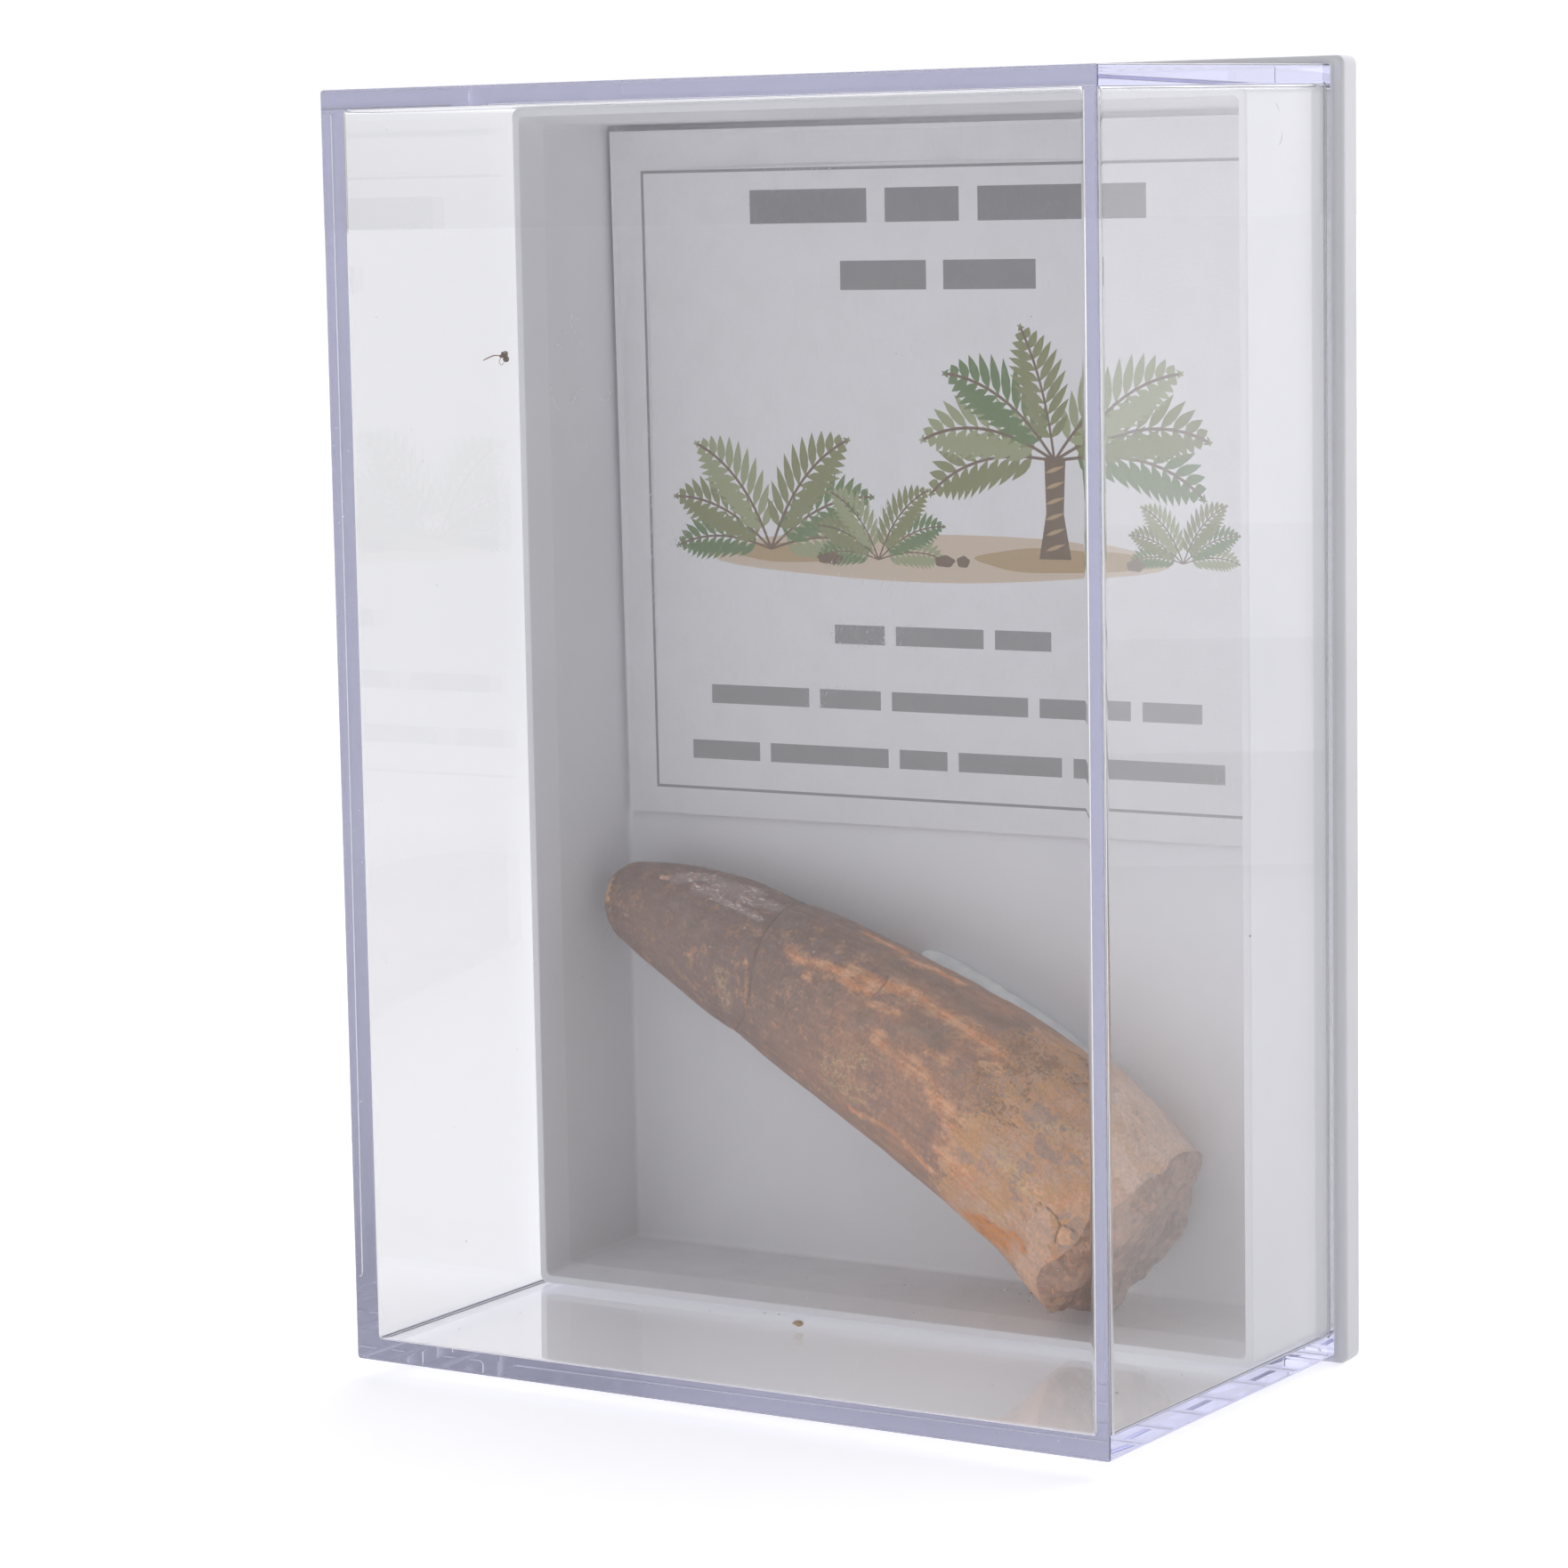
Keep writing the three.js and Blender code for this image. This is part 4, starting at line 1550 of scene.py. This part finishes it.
    veins: tuple[Stain, ...] = (
        Stain(((22.4, 192), (23.4, 186), (24.4, 177)), 1.5),
        Stain(((22.8, 196), (24.6, 200), (25.5, 195)), 1.3),
        Stain(((22.0, 220), (22.8, 222)), 0.9),
        Stain(((12.6, 182), (13.3, 194), (13.5, 206)), 1.0, 0.9),
        Stain(((34.6, 170), (35.9, 172), (36.5, 176)), 1.8),
        Stain(((33.0, 206), (35.0, 206)), 0.7),
    )
    facets: tuple[Stain, ...] = (
        Stain(((39.4, 180), (39.9, 186), (40.4, 196), (40.6, 208), (40.6, 224)), 1.5),
        Stain(((39.9, 160), (40.4, 152)), 0.6, 0.8),
        Stain(((37.5, 92), (41.0, 96)), 4.0),
        Stain(((38.5, 130), (40.8, 136)), 1.5, 0.9),
    )
    pale: tuple[Stain, ...] = (
        Stain(((41.1, 176), (41.4, 178)), 0.6, 1.2),
        Stain(((31.3, 138), (31.9, 135)), 0.6, 1.1),
        Stain(((1.0, 140), (1.0, 156), (1.2, 172)), 0.7, 0.8),
        Stain(((4.8, 124), (5.1, 123)), 0.5, 1.2),
        Stain(((37.5, 172), (38.3, 170)), 0.7, 0.7),
    )
    break_rim: TurnPath = (
        (42.9, 0), (42.9, 98), (42.4, 105), (41.7, 112), (41.4, 126), (41.5, 140), (41.5, 150), (41.3, 154),
        (41.7, 164), (41.9, 172), (41.9, 180), (41.7, 190), (41.3, 202), (41.5, 214), (42.1, 224),
        (42.5, 234), (42.7, 260), (42.9, 300), (42.9, 360),
    )
    pores: tuple[Stain, ...] = (
        Stain(((32.0, 114), (33.6, 110), (34.8, 104), (34.6, 92)), 1.9),
        Stain(((31.7, 146), (32.8, 150), (34.1, 154)), 1.4),
        Stain(((32.4, 130), (34.0, 134)), 1.3, 0.9),
        Stain(((37.6, 100), (39.6, 110)), 1.0, 0.6),
        Stain(((33.0, 20), (36.0, 35)), 2.0, 0.8),
    )
    cracks: tuple[Stain, ...] = (
        Stain(((22.6, 120), (22.9, 126), (23.0, 134), (22.8, 141)), 0.36, 0.9),
        Stain(((38.8, 174), (39.6, 172), (40.0, 172), (40.6, 174), (40.8, 178), (41.1, 184)), 0.30),
        Stain(((40.6, 174), (40.9, 172), (41.6, 170)), 0.28),
        Stain(((36.1, 217), (36.9, 213), (37.7, 212)), 0.26, 0.9),
        Stain(((38.6, 204), (39.2, 203), (39.6, 204)), 0.26, 0.9),
        Stain(((21.8, 82), (21.9, 92), (22.1, 100)), 0.30, 0.8),
        Stain(((35.5, 150), (36.3, 141), (37.1, 132)), 0.25, 0.8),
        Stain(((25.5, 92), (26.2, 99), (26.1, 106)), 0.35, 0.8),
        Stain(((17.0, 250), (24.0, 262), (31.0, 256), (36.0, 262)), 0.5),
        Stain(((20.0, 10), (27.0, -8), (35.0, 0)), 0.5),
        Stain(((29.0, 350), (30.5, 325), (30.0, 300)), 0.45),
    )
    sheet_radius: float = 5.5
    groove_place: float = 13.5
    groove_sway: float = 0.5
    groove_width: float = 0.45
    groove_depth: float = 0.10
    ridge_height: float = 0.045
    lump_height: float = 0.07
    crack_depth: float = 0.12
    pore_depth: float = 0.16
    chip_depth: float = 0.08
    chip_lumps: float = 0.05
    break_depth: float = 0.28
    break_lumps: Pair = (0.30, 0.14)
    rim_waver: float = 0.12
    end_lumps: Pair = (0.40, 0.22)
    end_sink: float = 0.12
    buff_range: Pair = (29.8, 34.2)
    buff_waver: float = 2.4
    buff_strength: float = 0.9
    spacing: float = 0.142
    columns: int = 236

    def profile(self) -> Array:
        """The lathe profile, evenly spaced: a smooth curve through the outline, then the broken end.

        Returns:
            Rows of (distance from the tip, radius).
        """
        flank = smooth_line(np.array(self.outline), 0.0, 24)
        rough = np.vstack([[(0.45, 0.12)], flank, self.broken_end])
        gone = distances(rough)
        even = np.linspace(0, gone[-1], int(gone[-1] / self.spacing))
        return read_curve(even, gone, rough)

    def nearness(self, along: Array, turn: Array, stains: Sequence[Stain]) -> Array:
        """How near each place is to any of the stains' paths, over the unrolled surface.

        Distances are measured on a sheet where a degree is as long as on the sheet's
        radius. The value is the stain's strength on its path and 0 at its reach.

        Args:
            along: Distance from the tip.
            turn: Angle round the tooth, in degrees.
            stains: The stains.

        Returns:
            Nearness from 0 to 1.
        """
        degree = np.radians(1.0) * self.sheet_radius
        best = np.zeros(along.shape)
        for stain in stains:
            path = np.array(stain.path, float)
            middle = path[:, 1].mean()
            round_mm = ((turn - middle + 180.0) % 360.0 - 180.0) * degree
            if np.ptp(path[:, 1]) > 300.0:
                round_mm = ((turn - path[0, 1]) % 360.0 + path[0, 1] - middle) * degree
            ends = np.column_stack([path[:, 0], (path[:, 1] - middle) * degree])
            for a, b in zip(ends, ends[1:]):
                run = b - a
                part = ((along - a[0]) * run[0] + (round_mm - a[1]) * run[1]) / max(run @ run, 1e-9)
                part = np.clip(part, 0.0, 1.0)
                gap = np.hypot(along - a[0] - part * run[0], round_mm - a[1] - part * run[1])
                best = np.maximum(best, stain.strength * np.clip(1.0 - gap / stain.reach, 0.0, 1.0))
        return best

    def coarse_relief(self, along: Array, angle: Array) -> Array:
        """The solid's own relief: a soft groove at the ring crack and a bell bump at each mark.

        Args:
            along: Distance from the tip.
            angle: Angle round the tooth, in radians.

        Returns:
            Height above the smooth outline.
        """
        centre = self.groove_place + self.groove_sway * np.cos(angle)
        height = -self.groove_depth * np.exp(-(((along - centre) / self.groove_width) ** 2))
        for at, degrees, length, width, mark in self.marks:
            turn = (angle - np.radians(degrees) + np.pi) % (2 * np.pi) - np.pi
            bell = np.exp(-(((along - at) / length) ** 2)) * np.exp(-((turn / np.radians(width)) ** 2))
            height += mark * bell
        return height

    def shape(self) -> tuple[Array, Array, dict[str, Array]]:
        """Turns the profile and adds the relief and the break.

        The radius grows by ridges, lumps, cracks, pores and chips. Near the broken end
        waves of the angle shift the places along the tooth, and past the break's rim the
        surface falls in and turns lumpy.

        Returns:
            The points of the smooth skin and of the finished one as (up, along, back), and
            the fields of stains by name.
        """
        profile = self.profile()
        along, angle = np.meshgrid(profile[:, 0], round_angles(self.columns), indexing="ij")
        radius = np.repeat(profile[:, 1:], self.columns, axis=1)
        row = np.arange(len(profile))[:, None]
        edge_row = int(np.argmax(profile[:, 0] >= self.outline[-1][0]))
        end = smoothstep(row + 0.0 * along, edge_row - 3.0, edge_row + 1.0)
        turn = np.degrees(angle)
        inside = np.minimum(1.0, radius / self.break_radius)

        skin = np.stack([radius * np.sin(angle), along, radius * np.cos(angle)], axis=-1)
        ridge_place = np.stack([9.0 * np.sin(angle), along / 7.0, 9.0 * np.cos(angle)], axis=-1)
        pores = self.nearness(along, turn, self.pores)
        chips = self.nearness(along, turn, self.chips)
        ring = (Stain(self.ring_crack, 0.48, 0.92),)
        cracks = np.maximum(self.nearness(along, turn, self.cracks), self.nearness(along, turn, ring))
        relief = self.coarse_relief(along, angle)
        relief += self.ridge_height * layered_noise(ridge_place, 11, 2) * (1 - end)
        relief += self.lump_height * layered_noise(skin / 2.1, 23, 4)
        relief -= self.crack_depth * smoothstep(cracks, 0.45, 1.0)
        relief -= self.pore_depth * pores * smoothstep(layered_noise(skin / 0.75, 37, 2), 0.0, 0.5)
        relief -= self.chip_depth * smoothstep(chips, 0.1, 0.6)
        relief += self.chip_lumps * smoothstep(chips, 0.3, 0.8) * layered_noise(skin / 0.5, 41, 2)

        near_break = smoothstep(along, self.break_start, self.break_centre)
        wave = sum(high * np.sin(waves * angle + phase) for waves, phase, high in self.break_waves)
        settled = along + wave * near_break * inside
        distance, degrees = np.array(self.break_rim).T
        rim = np.interp(turn, degrees, distance) + self.rim_waver * layered_noise(skin / 0.8, 59, 2)
        past = np.maximum(settled - rim, 0.0) * (1 - end) + end
        broken = np.maximum(smoothstep(settled, rim - 0.05, rim + 0.2), end)
        lumps = layered_noise(skin / 1.5, 53, 3)
        relief -= self.break_depth * past * (1 - end)
        coarse, fine = self.break_lumps
        relief += (coarse * lumps + fine * layered_noise(skin / 0.6, 67, 3)) * broken
        coarse, fine = self.end_lumps
        pushed = coarse * lumps + fine * layered_noise(skin / 0.6, 61, 3) - self.end_sink
        settled += end * pushed * inside
        wide = radius + relief * inside
        straight = np.stack([wide * np.sin(angle), settled, wide * np.cos(angle)], axis=-1)

        wavering = along + self.buff_waver * layered_noise(skin / 3.0, 71, 3)
        buff = smoothstep(wavering, *self.buff_range) * self.buff_strength
        fields = {"chips": chips, "broken": broken, "buff": buff, "cracks": cracks, "pores": pores}
        for name in ("orange", "rust", "slate", "yellow", "veins", "facets", "pale"):
            fields[name] = self.nearness(along, turn, getattr(self, name))
        return skin, straight, fields

    def build(self) -> bpy.types.Object:
        """Bends the tooth onto its centre line and stores its stains and its straight places.

        Returns:
            The finished tooth.
        """
        skin, straight, fields = self.shape()
        shell = Shell()
        shell.closed_tube(self.axis.bend(straight))
        piece = shell.to_object("tooth")
        for layer, names in STAIN_LAYERS.items():
            rows = [fields[name] for name in names]
            padded = [np.concatenate([row.ravel(), row[0, :1], row[-1, :1]]) for row in rows]
            paint(piece.data, layer, padded)
        unrolled = np.vstack([skin.reshape(-1, 3), skin[0].mean(axis=0), skin[-1].mean(axis=0)]) * MM
        layer = piece.data.attributes.new("straight", "FLOAT_VECTOR", "POINT")
        layer.data.foreach_set("vector", unrolled.astype(np.float32).ravel())
        return fit(piece, FossilEnamel().material(), "fossil", "fossil_tooth")


@dataclass(frozen=True)
class PuttyBead:
    """Putty pressed between the tooth's upper flank and the tray's floor."""

    axis: ToothAxis = ToothAxis()
    start: float = 20.0
    length: float = 14.0
    back: float = 5.3
    up: float = 3.75
    thick_radius: float = 1.1
    high_radius: float = 1.0
    least_swell: float = 0.1
    lump_share: float = 0.07
    lump_size: float = 1.6
    floor_y: float = 13.4
    rows: int = 110
    columns: int = 64

    def build(self) -> bpy.types.Object:
        """Carries an ellipse along the tooth, lumpy and pressed flat behind.

        Its size swells from its least to full as (1 - (2t - 1)^4)^0.5 along its path.

        Returns:
            The finished bead.
        """
        part = np.linspace(0.0, 1.0, self.rows)
        part, angle = np.meshgrid(part, round_angles(self.columns), indexing="ij")
        swell = np.sqrt(np.clip(1 - (2 * part - 1) ** 4, 0, 1))
        swell = swell * (1 - self.least_swell) + self.least_swell
        place = np.stack([2.0 * np.sin(angle), part * self.length, 2.0 * np.cos(angle)], axis=-1)
        swell = swell * (1 + self.lump_share * layered_noise(place / self.lump_size, 83, 3))
        up = self.up + self.high_radius * swell * np.sin(angle)
        back = self.back + self.thick_radius * swell * np.cos(angle)
        places = self.axis.bend(np.stack([up, self.start + part * self.length, back], axis=-1))
        places[..., 1] = np.minimum(places[..., 1], self.floor_y)
        shell = Shell()
        shell.closed_tube(places)
        piece = shell.to_object("putty")
        return fit(piece, PalePutty().material(), "putty", "putty_bead")


# The dirt in the box


@dataclass(frozen=True)
class Crumb:
    """One crumb: its place, its size and its tone."""

    place: Place
    size: float
    tone: Colour


@dataclass(frozen=True)
class Dirt:
    """Crumbs that fell off the specimen, pale flecks, and lint and hair on the lid."""

    tan: Colour = (0.55, 0.36, 0.18)
    pale: Colour = (0.85, 0.84, 0.82)
    brown: Colour = (0.10, 0.045, 0.02)
    grey: Colour = (0.30, 0.28, 0.27)
    russet: Colour = (0.25, 0.13, 0.06)
    straw: Colour = (0.45, 0.36, 0.28)
    lid_floor: float = 2.14
    tray_floor: float = 2.94
    inner_front: float = -14.3
    scuffs: tuple[tuple[Pair, ...], ...] = (
        (
            (-8.79, 64.29), (-8.63, 63.73), (-8.74, 63.42), (-8.53, 63.05), (-8.14, 62.43), (-7.93, 62.0),
            (-7.72, 61.69),
        ),
        ((-8.58, 63.73), (-8.3, 63.66), (-8.06, 63.61)),
        ((-9.75, 62.24), (-9.55, 62.14), (-9.35, 62.07)),
        ((-4.92, 62.12), (-4.6, 62.02), (-4.37, 61.87)),
        ((-7.83, 59.64), (-8.18, 59.61), (-8.48, 59.26), (-8.69, 58.83), (-9.02, 58.82)),
        ((-6.24, 59.75), (-6.16, 59.21), (-6.48, 58.98), (-6.85, 59.15)),
        ((-10.18, 60.25), (-10.16, 59.38), (-9.89, 58.76), (-9.66, 58.41)),
        ((-7.87, 57.28), (-7.83, 56.41), (-7.93, 56.16)),
    )
    tail: tuple[Place, ...] = (
        (-14.9, -14.27, 61.25), (-14.55, -14.28, 61.4), (-14.05, -14.3, 61.55), (-13.45, -14.28, 61.5),
    )
    barb: tuple[Place, ...] = (
        (-13.55, -14.27, 61.5), (-13.75, -14.29, 61.2), (-13.6, -14.28, 61.0), (-13.4, -14.29, 61.2),
    )
    hair: tuple[Place, ...] = (
        (24.62, 7.2, 75.2), (24.6, 7.7, 74.6), (24.6, 7.95, 73.8), (24.62, 7.9, 73.1), (24.62, 7.55, 72.8),
    )
    crumb_shape: Place = (1.0, 0.8, 0.62)
    crumb_waver: float = 0.42
    rows: int = 6
    columns: int = 9
    seed: int = 7

    def crumbs(self) -> list[Crumb]:
        """Lists the crumbs that show, then scatters small flecks over both floors and the panel.

        Returns:
            The crumbs.
        """
        listed = [
            Crumb((-3.4, 0.1, self.lid_floor + 0.12), 0.30, self.tan),
            Crumb((-3.9, 0.4, self.lid_floor), 0.12, self.pale),
            Crumb((-6.9, 1.9, self.lid_floor), 0.10, self.pale),
            Crumb((-5.9, 2.0, self.lid_floor), 0.09, self.pale),
            Crumb((5.1, 11.0, self.tray_floor), 0.13, self.pale),
            Crumb((6.3, 10.4, self.tray_floor), 0.16, self.pale),
            Crumb((6.9, 10.9, self.tray_floor), 0.11, self.tan),
            Crumb((7.5, 10.0, self.tray_floor), 0.12, self.pale),
            Crumb((24.75, 3.0, 27.6), 0.09, self.brown),
            Crumb((24.3, -13.6, 4.4), 0.10, self.grey),
        ]
        random = np.random.default_rng(self.seed)
        floor, ledge, front = self.lid_floor - 0.02, self.tray_floor - 0.02, self.inner_front
        scatters = (
            (26, ((-22.0, 22.0), (-13.0, 2.8), floor), (0.025, 0.07), 0.7, self.pale, self.tan),
            (16, ((-14.0, 22.0), (5.5, 13.0), ledge), (0.03, 0.08), 0.6, self.pale, self.tan),
            (46, ((-24.0, 24.0), front, (3.0, 75.0)), (0.02, 0.045), 0.5, self.grey, self.pale),
        )
        for number, spans, sizes, share, first, second in scatters:
            for _ in range(number):
                spot = tuple(random.uniform(*span) if isinstance(span, tuple) else span for span in spans)
                size = random.uniform(*sizes)
                listed.append(Crumb(spot, size, first if random.random() < share else second))
        return listed

    def build_crumbs(self) -> bpy.types.Object:
        """Joins the crumbs: each a squashed ball whose radius wavers with lattice noise.

        Returns:
            The finished crumbs.
        """
        shell = Shell()
        tones = []
        down = np.linspace(0.2, np.pi - 0.2, self.rows)
        lat, lon = np.meshgrid(down, round_angles(self.columns), indexing="ij")
        ball = np.stack([np.sin(lat) * np.cos(lon), np.sin(lat) * np.sin(lon), np.cos(lat)], axis=-1)
        for k, crumb in enumerate(self.crumbs()):
            noise = lattice_noise(ball * 1.7 + 9.0 * k + 50.0, 91)[..., None]
            grown = ball * (1 + self.crumb_waver * noise)
            shell.closed_tube(np.array(crumb.place) + grown * crumb.size * np.array(self.crumb_shape))
            tones.extend([crumb.tone] * (ball[..., 0].size + 2))
        piece = shell.to_object("crumbs", 50.0)
        paint(piece.data, "tone", list(np.array(tones).T))
        return fit(piece, Grit().material(), None)

    def scuff(self, path: Sequence[Pair]) -> Array:
        """A smooth line on the front panel's inner face through places given as (x, z)."""
        across, up = np.array(path).T
        return smooth_line(np.column_stack([across, np.full_like(across, self.inner_front), up]), 0.5, 6)

    def build_lint(self) -> bpy.types.Object:
        """Tubes along smooth paths: a knotted brown fibre and its tail, a grey hair and pale scuffs.

        The knot's path adds sines of different speeds on each axis, and a strand's radius
        is its own times (1 - u^4 / 2), with u from -1 to 1 along it.

        Returns:
            The finished fibres.
        """
        t = np.linspace(0, 1, 90)
        across = -13.42 + 0.16 * np.sin(11 * t) + 0.13 * np.sin(31 * t)
        back = self.inner_front + 0.05 - 0.03 * np.cos(17 * t)
        knot = np.column_stack([across, back, 61.50 + 0.15 * np.cos(13 * t) + 0.12 * np.sin(23 * t + 1)])
        threads = (self.tail, self.barb, self.hair)
        tail, barb, hair = (smooth_line(np.array(thread), 0.5, 10) for thread in threads)
        strands = (
            (knot, 0.075, self.brown),
            (tail, 0.035, self.russet),
            (barb, 0.02, self.straw),
            (hair, 0.016, self.grey),
            *((self.scuff(path), 0.017, self.pale) for path in self.scuffs),
        )
        shell = Shell()
        tones = []
        for path, radius, tone in strands:
            strand = tube(path, radius * (1 - 0.5 * np.linspace(-1, 1, len(path)) ** 4), 8)
            shell.faces.extend((np.array(face) + shell.count).tolist() for face in strand.faces)
            shell.points.extend(strand.points)
            shell.count += strand.count
            tones.extend([tone] * strand.count)
        piece = shell.to_object("lint")
        paint(piece.data, "tone", list(np.array(tones).T))
        return fit(piece, Grit().material(), None)


# The studio


@dataclass(frozen=True)
class Glow:
    """A soft bright part of the sky: full inside one cosine from its middle, gone at the other."""

    towards: Place
    narrow: float
    wide: float
    strength: float


@dataclass(frozen=True)
class Studio:
    """Plain white ground, soft white light all round, and the camera.

    Light runs along inside the clear walls by total reflection, so it is followed for many
    bounces. The ground glows faintly, as a light table does. Where they are seen directly,
    the sky is white and the ground a little brighter.
    """

    floor_size: float = 30.0
    floor_colour: Colour = (0.93, 0.93, 0.93)
    floor_shade: Colour = (0.9, 0.9, 0.9)
    tint: Colour = (1.0, 1.0, 1.035)
    sky: float = 0.15
    glows: tuple[Glow, ...] = (
        Glow((-0.52, -0.85, 0.10), 0.92, 0.35, 0.645),
        Glow((-0.20, -0.30, 0.93), 0.95, 0.30, 0.20),
        Glow((-0.10, 0.80, 0.59), 0.95, 0.40, 1.13),
        Glow((0.50, 0.86, 0.05), 0.97, 0.88, 0.26),
    )
    lamp_steps: tuple[tuple[float, ...], ...] = (
        (0.0, 0.012, 0.16), (0.012, 0.024, 0.32), (0.024, 0.036, 0.45), (0.036, 0.36, 0.57),
    )
    lamp_place: Pair = (0.141, 0.190)
    lamp_aim: Pair = (0.026, 0.0)
    lamp_width: float = 0.50
    ground_glow: float = 0.16
    ground_seen_directly: float = 0.30
    bounces: int = 48
    diffuse_bounces: int = 16
    azimuth: float = 31.1467
    elevation: float = 7.1439
    roll: float = -1.0233
    camera_place: Place = (0.13874, -0.23611, 0.06990)
    lens: float = 106.06

    def build_floor(self) -> None:
        half = self.floor_size * 1000 / 2
        across, along = np.meshgrid(np.linspace(-half, half, 9), np.linspace(-half, half, 9))
        shell = Shell()
        shell.grid(np.stack([across, along, np.zeros_like(across)], axis=-1), Wrap.OPEN)
        floor = shell.to_object("floor")
        material, canvas, shader = new_material("ground")
        speckle = canvas.remap(canvas.noise(canvas.place(), 40.0, 2.0), 0.3, 0.7, 0.0, 0.04)
        direct = canvas.add("ShaderNodeLightPath").outputs["Is Camera Ray"]
        seen = self.ground_glow + self.ground_seen_directly
        looks = {
            "Base Color": canvas.mix(speckle, self.floor_colour, self.floor_shade),
            "Roughness": 0.8,
            "Emission Color": self.tint,
            "Emission Strength": canvas.remap(direct, 0.0, 1.0, self.ground_glow, seen),
        }
        canvas.fill(shader, looks)
        material.cycles.emission_sampling = "NONE"
        floor.data.materials.append(material)

    def build_light(self) -> None:
        """White sky with soft glows, and a flat lamp behind on the right that fades towards the ground."""
        world = bpy.data.worlds.new("studio")
        bpy.context.scene.world = world
        world.use_nodes = True
        canvas = Canvas(world.node_tree)
        way = canvas.add("ShaderNodeTexCoord").outputs["Generated"]
        bright: object = self.sky
        for glow in self.glows:
            both = {0: way, 1: glow.towards}
            near = canvas.add("ShaderNodeVectorMath", both, operation="DOT_PRODUCT").outputs["Value"]
            bright = canvas.plus(bright, canvas.remap(near, glow.wide, glow.narrow, 0.0, glow.strength))
        direct = canvas.add("ShaderNodeLightPath").outputs["Is Camera Ray"]
        bright = canvas.math("MAXIMUM", bright, direct)
        background = canvas.add("ShaderNodeBackground", {"Color": self.tint, "Strength": bright})
        canvas.add("ShaderNodeOutputWorld", {"Surface": background.outputs[0]})
        for low, high, radiance in self.lamp_steps:
            self.place_lamp(low, high, radiance)

    def place_lamp(self, low: float, high: float, radiance: float) -> None:
        """Stands one step of the flat lamp, which the camera doesn't see.

        A flat lamp's power is its radiance times pi times its area.

        Args:
            low: Height of its lower edge, in metres.
            high: Height of its upper edge.
            radiance: How bright its surface is.
        """
        wide, tall = self.lamp_width, high - low
        lamp = bpy.data.lights.new("side_panel", "AREA")
        lamp.shape = "RECTANGLE"
        lamp.size, lamp.size_y = wide, tall
        lamp.color = self.tint
        lamp.energy = radiance * np.pi * wide * tall
        stand = bpy.data.objects.new("side_panel", lamp)
        middle = (low + high) / 2
        place, aim = (*self.lamp_place, middle), (*self.lamp_aim, middle)
        bpy.context.scene.collection.objects.link(stand)
        turn = (Vector(aim) - Vector(place)).to_track_quat("-Z", "Y").to_matrix().to_4x4()
        stand.matrix_world = Matrix.Translation(place) @ turn
        stand.visible_camera = False

    def build_camera(self) -> None:
        """Stands the camera at the fitted place, turned by azimuth, elevation and roll."""
        a, e, r = np.radians([self.azimuth, self.elevation, self.roll])
        back = np.array([np.sin(a) * np.cos(e), -np.cos(a) * np.cos(e), np.sin(e)])
        right = unit(np.cross(-back, [0.0, 0.0, 1.0]))
        up = np.cross(right, -back)
        across, upward = right * np.cos(r) + up * np.sin(r), up * np.cos(r) - right * np.sin(r)
        level = np.column_stack([across, upward, back])
        data = bpy.data.cameras.new("camera")
        data.sensor_width = 36.0
        data.lens = self.lens
        data.clip_start, data.clip_end = 0.01, 20.0
        camera = bpy.data.objects.new("camera", data)
        bpy.context.scene.collection.objects.link(camera)
        camera.matrix_world = Matrix.Translation(self.camera_place) @ Matrix(level.tolist()).to_4x4()
        bpy.context.scene.camera = camera

    def build(self) -> None:
        """Builds the ground, the light and the camera, with plain display colours."""
        self.build_floor()
        self.build_light()
        self.build_camera()
        scene = bpy.context.scene
        scene.view_settings.view_transform = "Standard"
        scene.cycles.max_bounces = self.bounces
        scene.cycles.glossy_bounces = self.bounces
        scene.cycles.transmission_bounces = self.bounces
        scene.cycles.diffuse_bounces = self.diffuse_bounces
        scene.cycles.blur_glossy = 0.0


def main() -> None:
    """Builds the box, its contents, the dirt and the studio."""
    logging.basicConfig(level=logging.INFO, format="%(name)s: %(message)s")
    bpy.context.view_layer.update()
    Tray().build()
    Lid().build()
    LabelCard().build()
    Tooth().build()
    PuttyBead().build()
    dirt = Dirt()
    dirt.build_crumbs()
    dirt.build_lint()
    Studio().build()
    unplaced = [name for name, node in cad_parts.items() if not node.hide_render]
    log.info("solids still shown: %s", unplaced)


if __name__ == "__main__":
    main()
